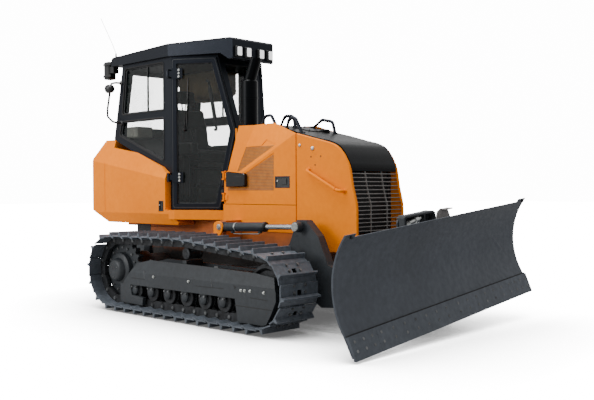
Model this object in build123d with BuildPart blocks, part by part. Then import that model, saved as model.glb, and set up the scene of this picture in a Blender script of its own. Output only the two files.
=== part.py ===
from build123d import *
import os
from math import atan2, cos, degrees, hypot, radians, sin

# Crawler dozer with a six-way blade.
# Row frame: +X forward, +Y to the left, +Z up, ground at z = 0, millimetres.

# ---------------------------------------------------------------- driving sizes
RUNNING_GAP = 0.4          # radial play between a pin and what turns on it
FACE_GAP = 0.3             # side play between a turning eye and the plate beside it

# Tracks
TRACK_GAUGE = 1825         # between the two chain centre lines
SHOE_WIDTH = 457
SHOE_COUNT = 38
GROUSER_HEIGHT = 46
GROUSER_WIDTH = 14
SHOE_PLATE = 12
SHOE_NOTCH = 9             # gap between neighbouring shoe plates
LINK_ABOVE_PIN = 47        # link height from the pin line out to the shoe plate
LINK_BELOW_PIN = 42        # link height from the pin line in to the rail face
RAIL_WIDTH = 42
RAIL_GAP = 92              # clear space between the two rails of a chain
SPROCKET_X = -1303
SPROCKET_PITCH_R = 316
IDLER_X = 978
IDLER_PITCH_R = 280
CARRIER_X = -154
CARRIER_R = 60
CARRIER_Z = 650
ROLLER_R = 85
ROLLER_COUNT = 7
ROLLER_FIRST_X = -965
ROLLER_STEP = 277
TEETH = 24
TOOTH_HALF = 28            # half width of the sprocket's rim
SPROCKET_TIP_R = 328
SPROCKET_ROOT_R = 294
FINAL_DRIVE_Y = 640        # outer face of the final drive housing

FRAME_INNER = 100          # chain centre line to the inner faces of the track frame's covers
FRAME_OUTER = 140
COVER_CREASE_Z = 420
COVER_TOP_Z = 560
COVER_LEAN = 30
PIPE_SIDES = 6             # flats that stand for a round bar, a roller and a large disc
ROLLER_SIDES = 12
DISC_SIDES = 20
REAR_GUARD_OUTLINE = [(-1190, 292), (-1190, 120), (-1160, 96), (-800, 92), (-790, 170), (-985, 185), (-1010, 292)]

SHOE_DEPTH = GROUSER_HEIGHT + SHOE_PLATE
PIN_DROP = SHOE_DEPTH + LINK_ABOVE_PIN           # ground to the pin line
SPROCKET_Z = PIN_DROP + SPROCKET_PITCH_R
IDLER_Z = PIN_DROP + IDLER_PITCH_R
ROLLER_Z = PIN_DROP + LINK_BELOW_PIN + ROLLER_R + RUNNING_GAP
TRACK_Y = TRACK_GAUGE / 2
TRACK_INNER_Y = TRACK_Y - SHOE_WIDTH / 2

# Track frame between the rollers and the top run
GUARD_OUTLINE = [(-989, 446), (-918, 513), (-691, 558), (212, 548), (872, 534), (1113, 509),
                 (1150, 384), (1151, 307), (1090, 189), (1028, 96), (964, 84), (660, 84),
                 (622, 290), (-1006, 290), (-1150, 290)]

# Push frame and lift linkage
LIFT_X, LIFT_Z = 0, 420
ARM_INNER_Y = 500
ARM_OUTER_Y = 585
LIFT_PIN_R = 40
LIFT_BASE_X, LIFT_BASE_Z = -30, 900
LIFT_BASE_R = 50
LIFT_NECK = 75             # base pin to the back of the barrel
LIFT_EYE_X, LIFT_EYE_Z = 1000, 930
LIFT_CYL_Y = 633
LIFT_EYE_HALF = 30         # half width of a lift cylinder's eye
EYE_PIN_R = 22
LIFT_BARREL_R = 44
LIFT_BARREL = 626
LIFT_ROD_R = 26
LIFT_ROD = 600
BEAM_X0, BEAM_X1 = 1615, 1765
BEAM_Z0, BEAM_Z1 = 270, 460

# Blade linkage, drawn about the angle pin and then turned to the stored pose
ANGLE_X = 1879             # vertical pin on the push frame's nose
NOSE_R = 75
NOSE_PLATE = 35
ANGLE_PIN_R = 35
TILT_Z = (BEAM_Z0 + BEAM_Z1) / 2
BLADE_YAW = 3.66           # stored pose: right end forward
BLADE_TILT = 4.67          # stored pose: left end up
BLADE_REACH = 380          # angle pin to the cutting edge
BLADE_HALF = 1455
BLADE_LOW = 228            # tilt trunnion down to the cutting edge
BLADE_HEIGHT = 895
EAR_RISE = 27              # the corner ears stand above the top edge
EAR_HEIGHT = BLADE_HEIGHT + EAR_RISE
OUTER_RIB_INSET = 125      # blade end to each stiffening rib
INNER_RIB_INSET = 555
PLATE_T = 16
TRUNNION_R = 55
ARM_SPAN = 520
ANGLE_LEVER = 470          # angle pin out to each angle cylinder's eye
ANGLE_EYE_X = 60
ANGLE_BASE_X = 1060
ANGLE_BASE_Y = 445
ANGLE_CYL_Z = 577
ANGLE_BARREL_R = 34
ANGLE_BARREL = 560
ANGLE_ROD_R = 18
ANGLE_ROD = 560
TILT_CYL_X = 62
TILT_CYL_Z = 395           # above the trunnion
TILT_BASE_Y = -400
TILT_EYE_Y = 250

# Cab
CAB_HALF = 563
CAB_REAR_LOW_X, CAB_REAR_TOP_X = -2030, -1850
PILLAR_X = -935            # front face of the door's hinge post
CAB_FRONT_TOP_X = -496
CAB_FRONT_MID_X, CAB_FRONT_MID_Y = -316, 175
CAB_FRONT_LOW_X = -460
CAB_FLOOR_Z = 1040
CAB_WAIST_Z = 1883
CAB_TOP_Z = 2690
PILLAR = 50                # wall and post thickness
GLASS_T = 8
ROOF_HALF = CAB_HALF + 37
ROOF_REAR_X = -2030
ROOF_REAR_Z = 2795
VISOR_X = -260
VISOR_HALF = 290
VISOR_TOP_Z = 2845
VISOR_LOW_Z = 2632
SEAT_FRONT_X = -870
SEAT_TOP_Z = 1700
LAMP_Y = (-222, -92, 92, 222)
MIRROR_Y = CAB_HALF + 77
DOOR_T = 40
DOOR_RAIL = 55
DOOR_LAP = 40              # overlap of the leaf on the frame around its opening
DOOR_OUT = 4               # the leaf lies this far outside the frame
DOOR_HINGE_X = PILLAR_X + 5
DOOR_HINGE_Y = CAB_HALF + 52
DOOR_HINGE_Z = (1398, 2500)
KNUCKLE_R = 16
KNUCKLE_HALF = 30
HINGE_PIN_R = 9
BODY_HALF = 640
BODY_FRONT_X = -958
SKIRT_CREASE_Z = 1010

# Hull
HULL_HALF = 395
HULL_TOP = 855

# Hood
EXHAUST_X, EXHAUST_Y = -132, -172
EXHAUST_R = 86
HOOD_HALF_REAR = 400
HOOD_HALF_FRONT = 346
HOOD_SEAM_X = 761          # seam between the engine door and the front cheek
HOOD_FRONT_X = 1463
SHEET = 14
CHEEK_T = 28
DOOR_REAR_X = -250
DOOR_SEAM_Z = 1117         # seam between the engine door and the fixed panel below it
SEAM_GAP = 5
# the engine door's upper part folds in towards the hood top: corners (x, y, z) of the fold lines
FOLD_REAR = (-140, HOOD_HALF_REAR, 1372)
FOLD_FRONT = (755, HOOD_HALF_REAR, 1794)
FOLD_TOP_FRONT = (364, 300, 1921)
FOLD_TOP_REAR = (28, 249, 1921)
COWL_REAR_LOW = (-214, HOOD_HALF_REAR, 1464)
COWL_REAR_TOP = (-160, 300, 1921)
LOUVRE_DEPTH = 5
GRILLE_BARS = 17
GRILLE_TOP_Z = 1446
GRILLE_STEP = 37
GRILLE_RECESS = 12
ENGINE_HINGE_X = -268
ENGINE_HINGE_Y = HOOD_HALF_REAR + 12
ENGINE_HINGE_Z = (1190, 1410)
BULKHEAD_X = -290

SIDES = {"right": -1, "left": 1}
os.makedirs("parts", exist_ok=True)


def keep(builder, node):
    """Labels a finished piece and writes it out."""
    builder.part.label = node
    export_step(builder.part, f"parts/{node}.step")


def slab_y(points, y_from, y_to, mode=Mode.ADD, inset=0):
    """Extrudes an X-Z outline from y_from to y_to in the open part."""
    with BuildSketch(Plane.XZ.offset(-y_from)) as outline:
        with BuildLine():
            Polyline(*points, close=True)
        make_face()
        if inset:
            offset(amount=-inset, kind=Kind.INTERSECTION, mode=Mode.REPLACE)
    extrude(outline.sketch, amount=abs(y_to - y_from), dir=(0, 1 if y_to > y_from else -1, 0), mode=mode)


def slab_z(points, z_from, z_to, mode=Mode.ADD, inset=0):
    """Extrudes an X-Y outline from z_from up to z_to in the open part."""
    with BuildSketch(Plane.XY.offset(z_from)) as outline:
        with BuildLine():
            Polyline(*points, close=True)
        make_face()
        if inset:
            offset(amount=-inset, kind=Kind.INTERSECTION, mode=Mode.REPLACE)
    extrude(outline.sketch, amount=z_to - z_from, dir=(0, 0, 1), mode=mode)


def slab_x(points, x_from, x_to, mode=Mode.ADD):
    """Extrudes a Y-Z outline from x_from forward to x_to in the open part."""
    with BuildSketch(Plane.YZ.offset(x_from)) as outline:
        with BuildLine():
            Polyline(*points, close=True)
        make_face()
    extrude(outline.sketch, amount=x_to - x_from, dir=(1, 0, 0), mode=mode)


def rod(start, end, radius, mode=Mode.ADD, sides=0):
    """A bar between two points in the open part: round, or with that many flat sides."""
    axis = Vector(*end) - Vector(*start)
    with BuildSketch(Plane(origin=start, z_dir=axis)) as section:
        if sides:
            RegularPolygon(radius, sides, major_radius=mode == Mode.ADD)
        else:
            Circle(radius)
    extrude(section.sketch, amount=axis.length, dir=axis, mode=mode)


def bent_bar(points, radius):
    """An eight-sided bar through the points, mitred by a ball-like overlap at each bend."""
    for start, end in zip(points, points[1:]):
        reach = (Vector(*end) - Vector(*start)).normalized() * radius * 0.35
        rod(tuple(Vector(*start) - reach), tuple(Vector(*end) + reach), radius, sides=PIPE_SIDES)


def box_between(low, high, mode=Mode.ADD):
    """A block from its low corner to its high corner in the open part."""
    size = [b - a for a, b in zip(low, high)]
    middle = [(a + b) / 2 for a, b in zip(low, high)]
    with Locations(tuple(middle)):
        Box(*size, mode=mode)


def box_on_side(s, x_pair, y_pair, z_pair, mode=Mode.ADD):
    """A block whose Y pair is measured outwards from the middle plane on side s."""
    y_low, y_high = sorted((s * y_pair[0], s * y_pair[1]))
    box_between((x_pair[0], y_low, z_pair[0]), (x_pair[1], y_high, z_pair[1]), mode)


def disc_y(x, z, radius, y_from, y_to, mode=Mode.ADD, sides=0):
    """A disc or polygon disc across the machine."""
    rod((x, y_from, z), (x, y_to, z), radius, mode, sides)


# ---------------------------------------------------------------- tracks
with BuildSketch(Plane.XZ) as belt:
    with Locations((SPROCKET_X, SPROCKET_Z)):
        Circle(SPROCKET_PITCH_R)
    with Locations((IDLER_X, IDLER_Z)):
        Circle(IDLER_PITCH_R)
    with Locations((CARRIER_X, CARRIER_Z)):
        Circle(CARRIER_R + LINK_BELOW_PIN)
    make_hull()
pin_line = belt.sketch.faces()[0].outer_wire()
belt_middle = Vector(0, 0, IDLER_Z)


def beside_pin_line(fraction, along, out):
    """A point near the pin line: its fraction of the loop, then the shift along and outwards."""
    point = pin_line @ fraction
    tangent = pin_line % fraction
    outward = tangent.cross(Vector(0, 1, 0))
    if outward.dot(point - belt_middle) < 0:
        outward = outward * -1
    shifted = point + tangent * along + outward * out
    return (shifted.X, shifted.Z)


pitch = pin_line.length / SHOE_COUNT
plate_low = LINK_ABOVE_PIN
plate_high = LINK_ABOVE_PIN + SHOE_PLATE
grouser_tip = plate_high + GROUSER_HEIGHT
half_plate = (pitch - SHOE_NOTCH) / 2
half_bar = GROUSER_WIDTH / 2
shoe_corners = [(-pitch / 2, plate_low + 4), (-half_plate, plate_high), (-half_bar * 1.6, plate_high),
                (0, grouser_tip), (half_bar * 1.6, plate_high), (half_plate, plate_high)]
outer_points = []
inner_points = []
rail_points = []
for shoe in range(SHOE_COUNT):
    place = (shoe + 0.5) / SHOE_COUNT
    outer_points += [beside_pin_line(place, along, out) for along, out in shoe_corners]
    inner_points.append(beside_pin_line(shoe / SHOE_COUNT, 0, plate_low))
    rail_points.append(beside_pin_line(shoe / SHOE_COUNT, 0, -LINK_BELOW_PIN))


def bends_only(points):
    """The loop's corners, without those that lie on its straight runs."""
    kept = []
    for index, (x, z) in enumerate(points):
        x_before, z_before = points[index - 1]
        x_after, z_after = points[(index + 1) % len(points)]
        turn = (x - x_before) * (z_after - z) - (z - z_before) * (x_after - x)
        if abs(turn) > 1:
            kept.append((x, z))
    return kept


inner_points = bends_only(inner_points)
rail_points = bends_only(rail_points)

for side, s in SIDES.items():
    with BuildPart() as track:
        y0 = s * TRACK_Y - SHOE_WIDTH / 2
        slab_y(outer_points, y0, y0 + SHOE_WIDTH)
        slab_y(inner_points, y0, y0 + SHOE_WIDTH, Mode.SUBTRACT)
        for rail in (-1, 1):
            rail_y = s * TRACK_Y + rail * (RAIL_GAP + RAIL_WIDTH) / 2 - RAIL_WIDTH / 2
            with BuildSketch(Plane.XZ.offset(-rail_y)) as rail_ring:
                with BuildLine():
                    Polyline(*inner_points, close=True)
                make_face()
                with BuildLine(mode=Mode.PRIVATE) as inside:
                    Polyline(*rail_points, close=True)
                make_face(inside.edges(), mode=Mode.SUBTRACT)
            extrude(rail_ring.sketch, amount=RAIL_WIDTH, dir=(0, 1, 0))
    keep(track, f"track_{side}")

tooth_step = 360 / TEETH
tooth_corners = [(-0.34, SPROCKET_ROOT_R), (0, SPROCKET_TIP_R), (0.34, SPROCKET_ROOT_R)]
sprocket_outline = []
for tooth in range(TEETH):
    for share, radius in tooth_corners:
        angle = radians((tooth + share) * tooth_step)
        sprocket_outline.append((SPROCKET_X + radius * cos(angle), SPROCKET_Z + radius * sin(angle)))
with BuildPart() as sprockets:
    for s in SIDES.values():
        slab_y(sprocket_outline, s * (TRACK_Y - TOOTH_HALF), s * (TRACK_Y + TOOTH_HALF))
        for radius, y_far in ((180, TRACK_Y + 85), (105, TRACK_Y + 150)):
            disc_y(SPROCKET_X, SPROCKET_Z, radius, s * FINAL_DRIVE_Y, s * y_far, sides=DISC_SIDES)
keep(sprockets, "sprockets")

idler_tread = (IDLER_PITCH_R - LINK_BELOW_PIN) * cos(pitch / 2 / IDLER_PITCH_R) - RUNNING_GAP
rail_outer = RAIL_GAP / 2 + RAIL_WIDTH
with BuildPart() as idlers:
    for s in SIDES.values():
        disc_y(IDLER_X, IDLER_Z, idler_tread, s * TRACK_Y - rail_outer, s * TRACK_Y + rail_outer, sides=DISC_SIDES)
keep(idlers, "idlers")

with BuildPart() as rollers:
    for s in SIDES.values():
        for index in range(ROLLER_COUNT):
            x = ROLLER_FIRST_X + index * ROLLER_STEP
            disc_y(x, ROLLER_Z, ROLLER_R, s * TRACK_Y - FRAME_INNER, s * TRACK_Y + FRAME_INNER, sides=ROLLER_SIDES)
        # the sprocket's teeth pass between the two treads of the rear roller
        groove_half = TOOTH_HALF + 12
        disc_y(ROLLER_FIRST_X, ROLLER_Z, ROLLER_R + 1, s * TRACK_Y - groove_half, s * TRACK_Y + groove_half,
               Mode.SUBTRACT, ROLLER_SIDES)
        disc_y(ROLLER_FIRST_X, ROLLER_Z, ROLLER_R / 2, s * TRACK_Y - groove_half - 1, s * TRACK_Y + groove_half + 1,
               sides=ROLLER_SIDES)
        disc_y(CARRIER_X, CARRIER_Z, CARRIER_R - 4, s * TRACK_Y - 92, s * TRACK_Y + 92, sides=ROLLER_SIDES)
keep(rollers, "rollers")

for side, s in SIDES.items():
    with BuildPart() as track_frame:
        slab_y(GUARD_OUTLINE, s * (TRACK_Y + FRAME_INNER), s * (TRACK_Y + FRAME_OUTER))
        slab_y(GUARD_OUTLINE, s * (TRACK_Y - FRAME_OUTER), s * (TRACK_Y - FRAME_INNER))
        # above its crease the outer cover leans in
        split(bisect_by=Plane(origin=(0, s * (TRACK_Y + FRAME_OUTER), COVER_CREASE_Z),
                              z_dir=(0, s * (COVER_TOP_Z - COVER_CREASE_Z), COVER_LEAN)), keep=Keep.BOTTOM)
        box_on_side(s, (-900, 640), (TRACK_Y - FRAME_INNER, TRACK_Y + FRAME_INNER), (345, 520))
        for x in (-850, -230):
            box_on_side(s, (x - 90, x + 90), (HULL_HALF, TRACK_Y - FRAME_OUTER + 10), (360, 500))
        box_on_side(s, (CARRIER_X - 30, CARRIER_X + 30), (TRACK_Y - FRAME_INNER, TRACK_Y + FRAME_INNER), (515, 585))
        # guide guard beside the rear rollers
        slab_y(REAR_GUARD_OUTLINE, s * (TRACK_Y + FRAME_INNER), s * (TRACK_Y + FRAME_OUTER))
    keep(track_frame, f"track_frame_{side}")

# ---------------------------------------------------------------- hull
with BuildPart() as hull:
    slab_y([(-1560, 640), (-1560, 850), (-1200, HULL_TOP), (1060, HULL_TOP), (1150, 690), (1060, 400),
            (900, 340), (-1200, 340), (-1450, 430)], -HULL_HALF, HULL_HALF)
    box_between((-2030, -380, HULL_TOP), (-300, 380, CAB_FLOOR_Z))
    for s in SIDES.values():
        disc_y(LIFT_X, LIFT_Z, 70, s * (HULL_HALF - 10), s * (ARM_INNER_Y - FACE_GAP), sides=ROLLER_SIDES)
        disc_y(LIFT_X, LIFT_Z, LIFT_PIN_R, s * (HULL_HALF - 10), s * (ARM_OUTER_Y + 20), sides=DISC_SIDES)
        disc_y(SPROCKET_X, SPROCKET_Z, 150, s * (HULL_HALF - 10), s * FINAL_DRIVE_Y, sides=DISC_SIDES)
        # mount of the lift cylinder's base pin
        for inner_y, z_pair in ((HULL_HALF - 10, (790, 870)), (HOOD_HALF_REAR + 3, (870, LIFT_BASE_Z + 60))):
            box_on_side(s, (LIFT_BASE_X - 80, LIFT_BASE_X + 15), (inner_y, LIFT_CYL_Y - LIFT_EYE_HALF - FACE_GAP), z_pair)
        disc_y(LIFT_BASE_X, LIFT_BASE_Z, EYE_PIN_R, s * (LIFT_CYL_Y - 35), s * (LIFT_CYL_Y + 35), sides=ROLLER_SIDES)
keep(hull, "hull")

with BuildPart() as engine:
    box_between((-150, -250, HULL_TOP), (1000, 250, 1560))
keep(engine, "engine_block")

with BuildPart() as drawbar:
    for z in (660, 780):
        box_between((-1700, -110, z), (-1560, 110, z + 40))
    rod((-1640, 0, 650), (-1640, 0, 830), 22, Mode.SUBTRACT)
keep(drawbar, "drawbar")

# ---------------------------------------------------------------- rear body
body_outline = [(-2376, 1035), (-2376, 1640), (-2230, 1850), (-2035, 1850), (-1067, 1512), (BODY_FRONT_X, 1440),
                (BODY_FRONT_X, 1058), (-832, 995), (-767, 918), (-790, 895), (-2100, 895)]
with BuildPart() as rear_body:
    slab_y(body_outline, -BODY_HALF, BODY_HALF)
    # the well that the cab stands in
    box_between((CAB_REAR_LOW_X - 4, -CAB_HALF - 2, CAB_FLOOR_Z - 5), (-700, CAB_HALF + 2, 1900), Mode.SUBTRACT)
    box_between((CAB_REAR_LOW_X - 4, -HULL_HALF, 890), (-700, HULL_HALF, 1100), Mode.SUBTRACT)
    for s in SIDES.values():
        # upper faces lean in from the crease to the foot of the cab
        rear_crease = Vector(-2290, s * BODY_HALF, 1599)
        front_crease = Vector(-927, s * BODY_HALF, 1381)
        cab_foot = Vector(-1500, s * (CAB_HALF + 4), 1668)
        lean = (front_crease - rear_crease).cross(cab_foot - rear_crease)
        if lean.Z < 0:
            lean = lean * -1
        split(bisect_by=Plane(origin=rear_crease, z_dir=lean), keep=Keep.BOTTOM)
        # the skirt tucks in below its own crease
        split(bisect_by=Plane(origin=(0, s * BODY_HALF, SKIRT_CREASE_Z), z_dir=(0, s * 115, -40)), keep=Keep.BOTTOM)
        # seam of the rear frame, and the pocket of the side panel's latch
        box_on_side(s, (-2121, -2115), (BODY_HALF - 6, BODY_HALF + 5), (SKIRT_CREASE_Z, 1700), Mode.SUBTRACT)
        box_on_side(s, (-1078, -990), (BODY_HALF - 14, BODY_HALF + 5), (1035, 1150), Mode.SUBTRACT)
keep(rear_body, "rear_body")

# ---------------------------------------------------------------- hood
cheek_slope = (HOOD_HALF_REAR - HOOD_HALF_FRONT) / (HOOD_FRONT_X - HOOD_SEAM_X)
nose_outline = [(HOOD_SEAM_X, 1797), (1161, 1696), (1253, 1661), (1325, 1578), (1385, 1470), (1415, 1292),
                (1461, 1123), (HOOD_FRONT_X, 840)]


def hood_half(x):
    """Half width over the cheeks at a place along the hood."""
    return HOOD_HALF_REAR - cheek_slope * max(0, x - HOOD_SEAM_X)


def nose_x(z):
    """Front edge of the cheeks at a height."""
    for (x_high, z_high), (x_low, z_low) in zip(nose_outline, nose_outline[1:]):
        if z_low <= z <= z_high:
            return x_high + (x_low - x_high) * (z_high - z) / (z_high - z_low)
    return HOOD_FRONT_X


inner_front = hood_half(HOOD_FRONT_X) - CHEEK_T
inner_rear = HOOD_HALF_REAR - CHEEK_T
cowl_half = FOLD_TOP_REAR[1] - SHEET - SEAM_GAP
deck_plan = [(BULKHEAD_X + 28, cowl_half), (DOOR_REAR_X + 15, cowl_half + 10),
             (COWL_REAR_TOP[0], COWL_REAR_TOP[1] - SHEET - 2 * SEAM_GAP), (FOLD_TOP_REAR[0], cowl_half),
             (FOLD_TOP_FRONT[0], FOLD_TOP_FRONT[1] - SHEET - SEAM_GAP), (HOOD_SEAM_X, inner_rear - SEAM_GAP),
             (HOOD_SEAM_X + 4, inner_rear), (HOOD_FRONT_X, inner_front)]
with BuildPart() as hood_top:
    slab_y([(BULKHEAD_X + 28, 1905), (345, 1905), (HOOD_SEAM_X, 1806), (1161, 1706), (1253, 1669), (1322, 1590),
            (1378, 1484), (1376, 1440), (1352, 1440), (1350, 1484), (1300, 1565), (1238, 1634), (1150, 1676),
            (HOOD_SEAM_X, 1776), (340, 1875), (BULKHEAD_X + 28, 1875)], -HOOD_HALF_REAR, HOOD_HALF_REAR)
    slab_z(deck_plan + [(x, -y) for x, y in reversed(deck_plan)], 1300, 2000, Mode.INTERSECT)

with BuildPart() as hood_sides:
    for s in SIDES.values():
        slab_z([(HOOD_SEAM_X, s * inner_rear), (HOOD_SEAM_X, s * HOOD_HALF_REAR), (HOOD_FRONT_X, s * HOOD_HALF_FRONT),
                (HOOD_FRONT_X, s * inner_front)], 600, 1810)
    slab_y(nose_outline + [(HOOD_FRONT_X, 690), (1143, 690), (1094, 715), (1068, HULL_TOP + 1),
                           (HOOD_SEAM_X, HULL_TOP + 1)], -500, 500, Mode.INTERSECT)
    # grab handle on each cheek
    for s in SIDES.values():
        handle = [(x, s * (hood_half(x) + out), z) for x, out, z in
                  ((915, -6, 1452), (925, 42, 1440), (1262, 42, 1262), (1318, 42, 1252), (1330, -6, 1250))]
        bent_bar(handle, 12)
    add(hull.part, mode=Mode.SUBTRACT)
    add(hood_top.part, mode=Mode.SUBTRACT)
keep(hood_sides, "hood_sides")

rib_heights = [GRILLE_TOP_Z + 8, 1292, 1123, GRILLE_TOP_Z - (GRILLE_BARS - 1) * GRILLE_STEP - 8]
with BuildPart() as grille:
    for index in range(GRILLE_BARS):
        z = GRILLE_TOP_Z - index * GRILLE_STEP
        x = nose_x(z) - GRILLE_RECESS
        box_between((x - 16, -inner_rear, z - 4), (x, inner_rear, z + 4))
    for y in (-118, 118):
        front_edge = [(nose_x(z) - GRILLE_RECESS - 16 - FACE_GAP, z) for z in rib_heights]
        back_edge = [(nose_x(z) - GRILLE_RECESS - 36, z) for z in reversed(rib_heights)]
        slab_y(front_edge + back_edge, y - 6, y + 6)
        box_between((1300, y - 6, 1140), (nose_x(1150) - GRILLE_RECESS - 34, y + 6, 1160))
    # radiator core behind the bars
    box_between((1285, -inner_rear, HULL_TOP + 1), (1305, inner_rear, 1420))
    slab_z([(1200, hood_half(1200) - CHEEK_T), (HOOD_FRONT_X, inner_front), (HOOD_FRONT_X, -inner_front),
            (1200, CHEEK_T - hood_half(1200))], 600, 1500, Mode.INTERSECT)
    add(hood_top.part, mode=Mode.SUBTRACT)
keep(grille, "grille")

# fixed panels below the engine doors, sills below the cab doors, and the bulkhead in front of the cab
with BuildPart() as lower_panels:
    box_between((BULKHEAD_X, -HOOD_HALF_REAR + SHEET, HULL_TOP + 1), (BULKHEAD_X + 22, HOOD_HALF_REAR - SHEET, 1460))
    box_between((BULKHEAD_X, -cowl_half, 1450), (BULKHEAD_X + 22, cowl_half, 1904))
    for s in SIDES.values():
        box_on_side(s, (BULKHEAD_X, HOOD_SEAM_X - SEAM_GAP), (HOOD_HALF_REAR - SHEET, HOOD_HALF_REAR),
                    (HULL_TOP + 1, DOOR_SEAM_Z))
        slab_z([(-900, s * (CAB_HALF + 1)), (-900, s * BODY_HALF), (-800, s * BODY_HALF), (BULKHEAD_X, s * HOOD_HALF_REAR),
                (BULKHEAD_X, s * 383), (-560, s * 383)], 955, 1052)
        for z in ENGINE_HINGE_Z:
            for low in (z - KNUCKLE_HALF - FACE_GAP - 12, z + KNUCKLE_HALF + FACE_GAP):
                slab_z([(BULKHEAD_X, s * (HOOD_HALF_REAR - SHEET - 2)), (BULKHEAD_X, s * (ENGINE_HINGE_Y + 10)),
                        (ENGINE_HINGE_X + 10, s * (ENGINE_HINGE_Y + 10)), (ENGINE_HINGE_X + 10, s * (ENGINE_HINGE_Y - 8)),
                        (BULKHEAD_X + 22, s * (HOOD_HALF_REAR - SHEET - 2))], low, low + 12)
            rod((ENGINE_HINGE_X, s * ENGINE_HINGE_Y, z - KNUCKLE_HALF - 12),
                (ENGINE_HINGE_X, s * ENGINE_HINGE_Y, z + KNUCKLE_HALF + 12), HINGE_PIN_R - 2, sides=ROLLER_SIDES)
    # the sills end where the rear body begins, and the panels where the hull does
    add(rear_body.part, mode=Mode.SUBTRACT)
    add(hull.part, mode=Mode.SUBTRACT)
keep(lower_panels, "lower_panels")


fold_slope = (FOLD_FRONT[2] - FOLD_REAR[2]) / (FOLD_FRONT[0] - FOLD_REAR[0])


def below_fold(x, margin):
    """A corner on the side face, that margin below the fold line."""
    return (x, FOLD_REAR[2] + (x - FOLD_REAR[0]) * fold_slope - margin)


def cut_outside(face, s, depth):
    """Cuts the open part off outside the plane of three corners, set back by a depth."""
    first, second, third = (Vector(x, s * y, z) for x, y, z in face)
    out = (second - first).cross(third - first).normalized()
    if out.Y * s < 0:
        out = out * -1
    split(bisect_by=Plane(origin=first - out * depth, z_dir=out), keep=Keep.BOTTOM)


def under_faces(outline, s, depth, y_inner):
    """The space under the engine door's side face and its two leaning faces, set back by a depth."""
    blocks = []
    for face in ((FOLD_REAR, FOLD_FRONT, FOLD_TOP_REAR), (FOLD_REAR, COWL_REAR_LOW, FOLD_TOP_REAR)):
        with BuildPart(mode=Mode.PRIVATE) as block:
            slab_y(outline, s * y_inner, s * (HOOD_HALF_REAR - depth))
            cut_outside(face, s, depth)
        blocks.append(block.part)
    return blocks


panel_outline = [(DOOR_REAR_X, DOOR_SEAM_Z + SEAM_GAP), (DOOR_REAR_X, COWL_REAR_LOW[2] - 30), COWL_REAR_LOW[::2],
                 COWL_REAR_TOP[::2], FOLD_TOP_FRONT[::2], FOLD_FRONT[::2], (FOLD_FRONT[0], DOOR_SEAM_Z + SEAM_GAP)]
beyond_outline = [(-400, 1000), (-400, 2100), (900, 2100), (900, 1000)]
louvre_outline = [(-217, 1257), (460, 1257), below_fold(460, 30), below_fold(-90, 30), (-217, 1310)]
upper_outline = [below_fold(-60, -40), below_fold(480, -40), (300, 1760), (231, 1700), (-35, 1700), (-95, 1450)]
for side, s in SIDES.items():
    with BuildPart() as engine_door:
        for block in under_faces(panel_outline, s, 0, 150):
            add(block)
        for block in under_faces(beyond_outline, s, SHEET, 100):
            add(block, mode=Mode.SUBTRACT)
        # air inlet panels set back in the side face and in the leaning face
        slab_y(louvre_outline, s * (HOOD_HALF_REAR - LOUVRE_DEPTH), s * HOOD_HALF_REAR, Mode.SUBTRACT)
        with BuildPart(mode=Mode.PRIVATE) as inlet:
            slab_y(upper_outline, s * 150, s * (HOOD_HALF_REAR + 1))
            add(under_faces(beyond_outline, s, LOUVRE_DEPTH, 100)[0], mode=Mode.SUBTRACT)
        add(inlet.part, mode=Mode.SUBTRACT)
        # latch pocket
        box_on_side(s, (473, 678), (HOOD_HALF_REAR - 9, HOOD_HALF_REAR + 5), (1280, 1395), Mode.SUBTRACT)
        for z in ENGINE_HINGE_Z:
            box_on_side(s, (ENGINE_HINGE_X, DOOR_REAR_X + 35), (HOOD_HALF_REAR, HOOD_HALF_REAR + 7), (z - 26, z + 26))
            rod((ENGINE_HINGE_X, s * ENGINE_HINGE_Y, z - KNUCKLE_HALF), (ENGINE_HINGE_X, s * ENGINE_HINGE_Y, z + KNUCKLE_HALF),
                12, sides=PIPE_SIDES)
            bore_sides = DISC_SIDES if z == ENGINE_HINGE_Z[0] else 0
            rod((ENGINE_HINGE_X, s * ENGINE_HINGE_Y, z - KNUCKLE_HALF - 1),
                (ENGINE_HINGE_X, s * ENGINE_HINGE_Y, z + KNUCKLE_HALF + 1), HINGE_PIN_R - 2 + RUNNING_GAP, Mode.SUBTRACT,
                bore_sides)
    keep(engine_door, f"engine_door_{side}")
    with BuildPart() as side_cover:
        slab_y([(-205, 1292), (-205, 1440), (-180, 1448), (60, 1430), (78, 1415), (78, 1308), (60, 1298)],
               s * HOOD_HALF_REAR, s * (HOOD_HALF_REAR + 42))
    keep(side_cover, f"side_cover_{side}")

with BuildPart() as exhaust:
    rod((EXHAUST_X, EXHAUST_Y, 1560), (EXHAUST_X, EXHAUST_Y, 2392), EXHAUST_R, sides=DISC_SIDES)
    rod((EXHAUST_X, EXHAUST_Y, 2380), (EXHAUST_X + 96, EXHAUST_Y, 2610), 62, sides=DISC_SIDES)
    rod((EXHAUST_X + 10, EXHAUST_Y, 2404), (EXHAUST_X + 104, EXHAUST_Y, 2629), 53, Mode.SUBTRACT, DISC_SIDES)
    box_between((EXHAUST_X + 52, EXHAUST_Y - 90, 2393), (EXHAUST_X + 200, EXHAUST_Y + 90, 2700), Mode.SUBTRACT)
keep(exhaust, "exhaust_stack")

with BuildPart() as deck:
    add(hood_top.part)
    rod((EXHAUST_X, EXHAUST_Y, 1800), (EXHAUST_X, EXHAUST_Y, 2000), EXHAUST_R + FACE_GAP, Mode.SUBTRACT, DISC_SIDES)
keep(deck, "hood_top")

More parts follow.
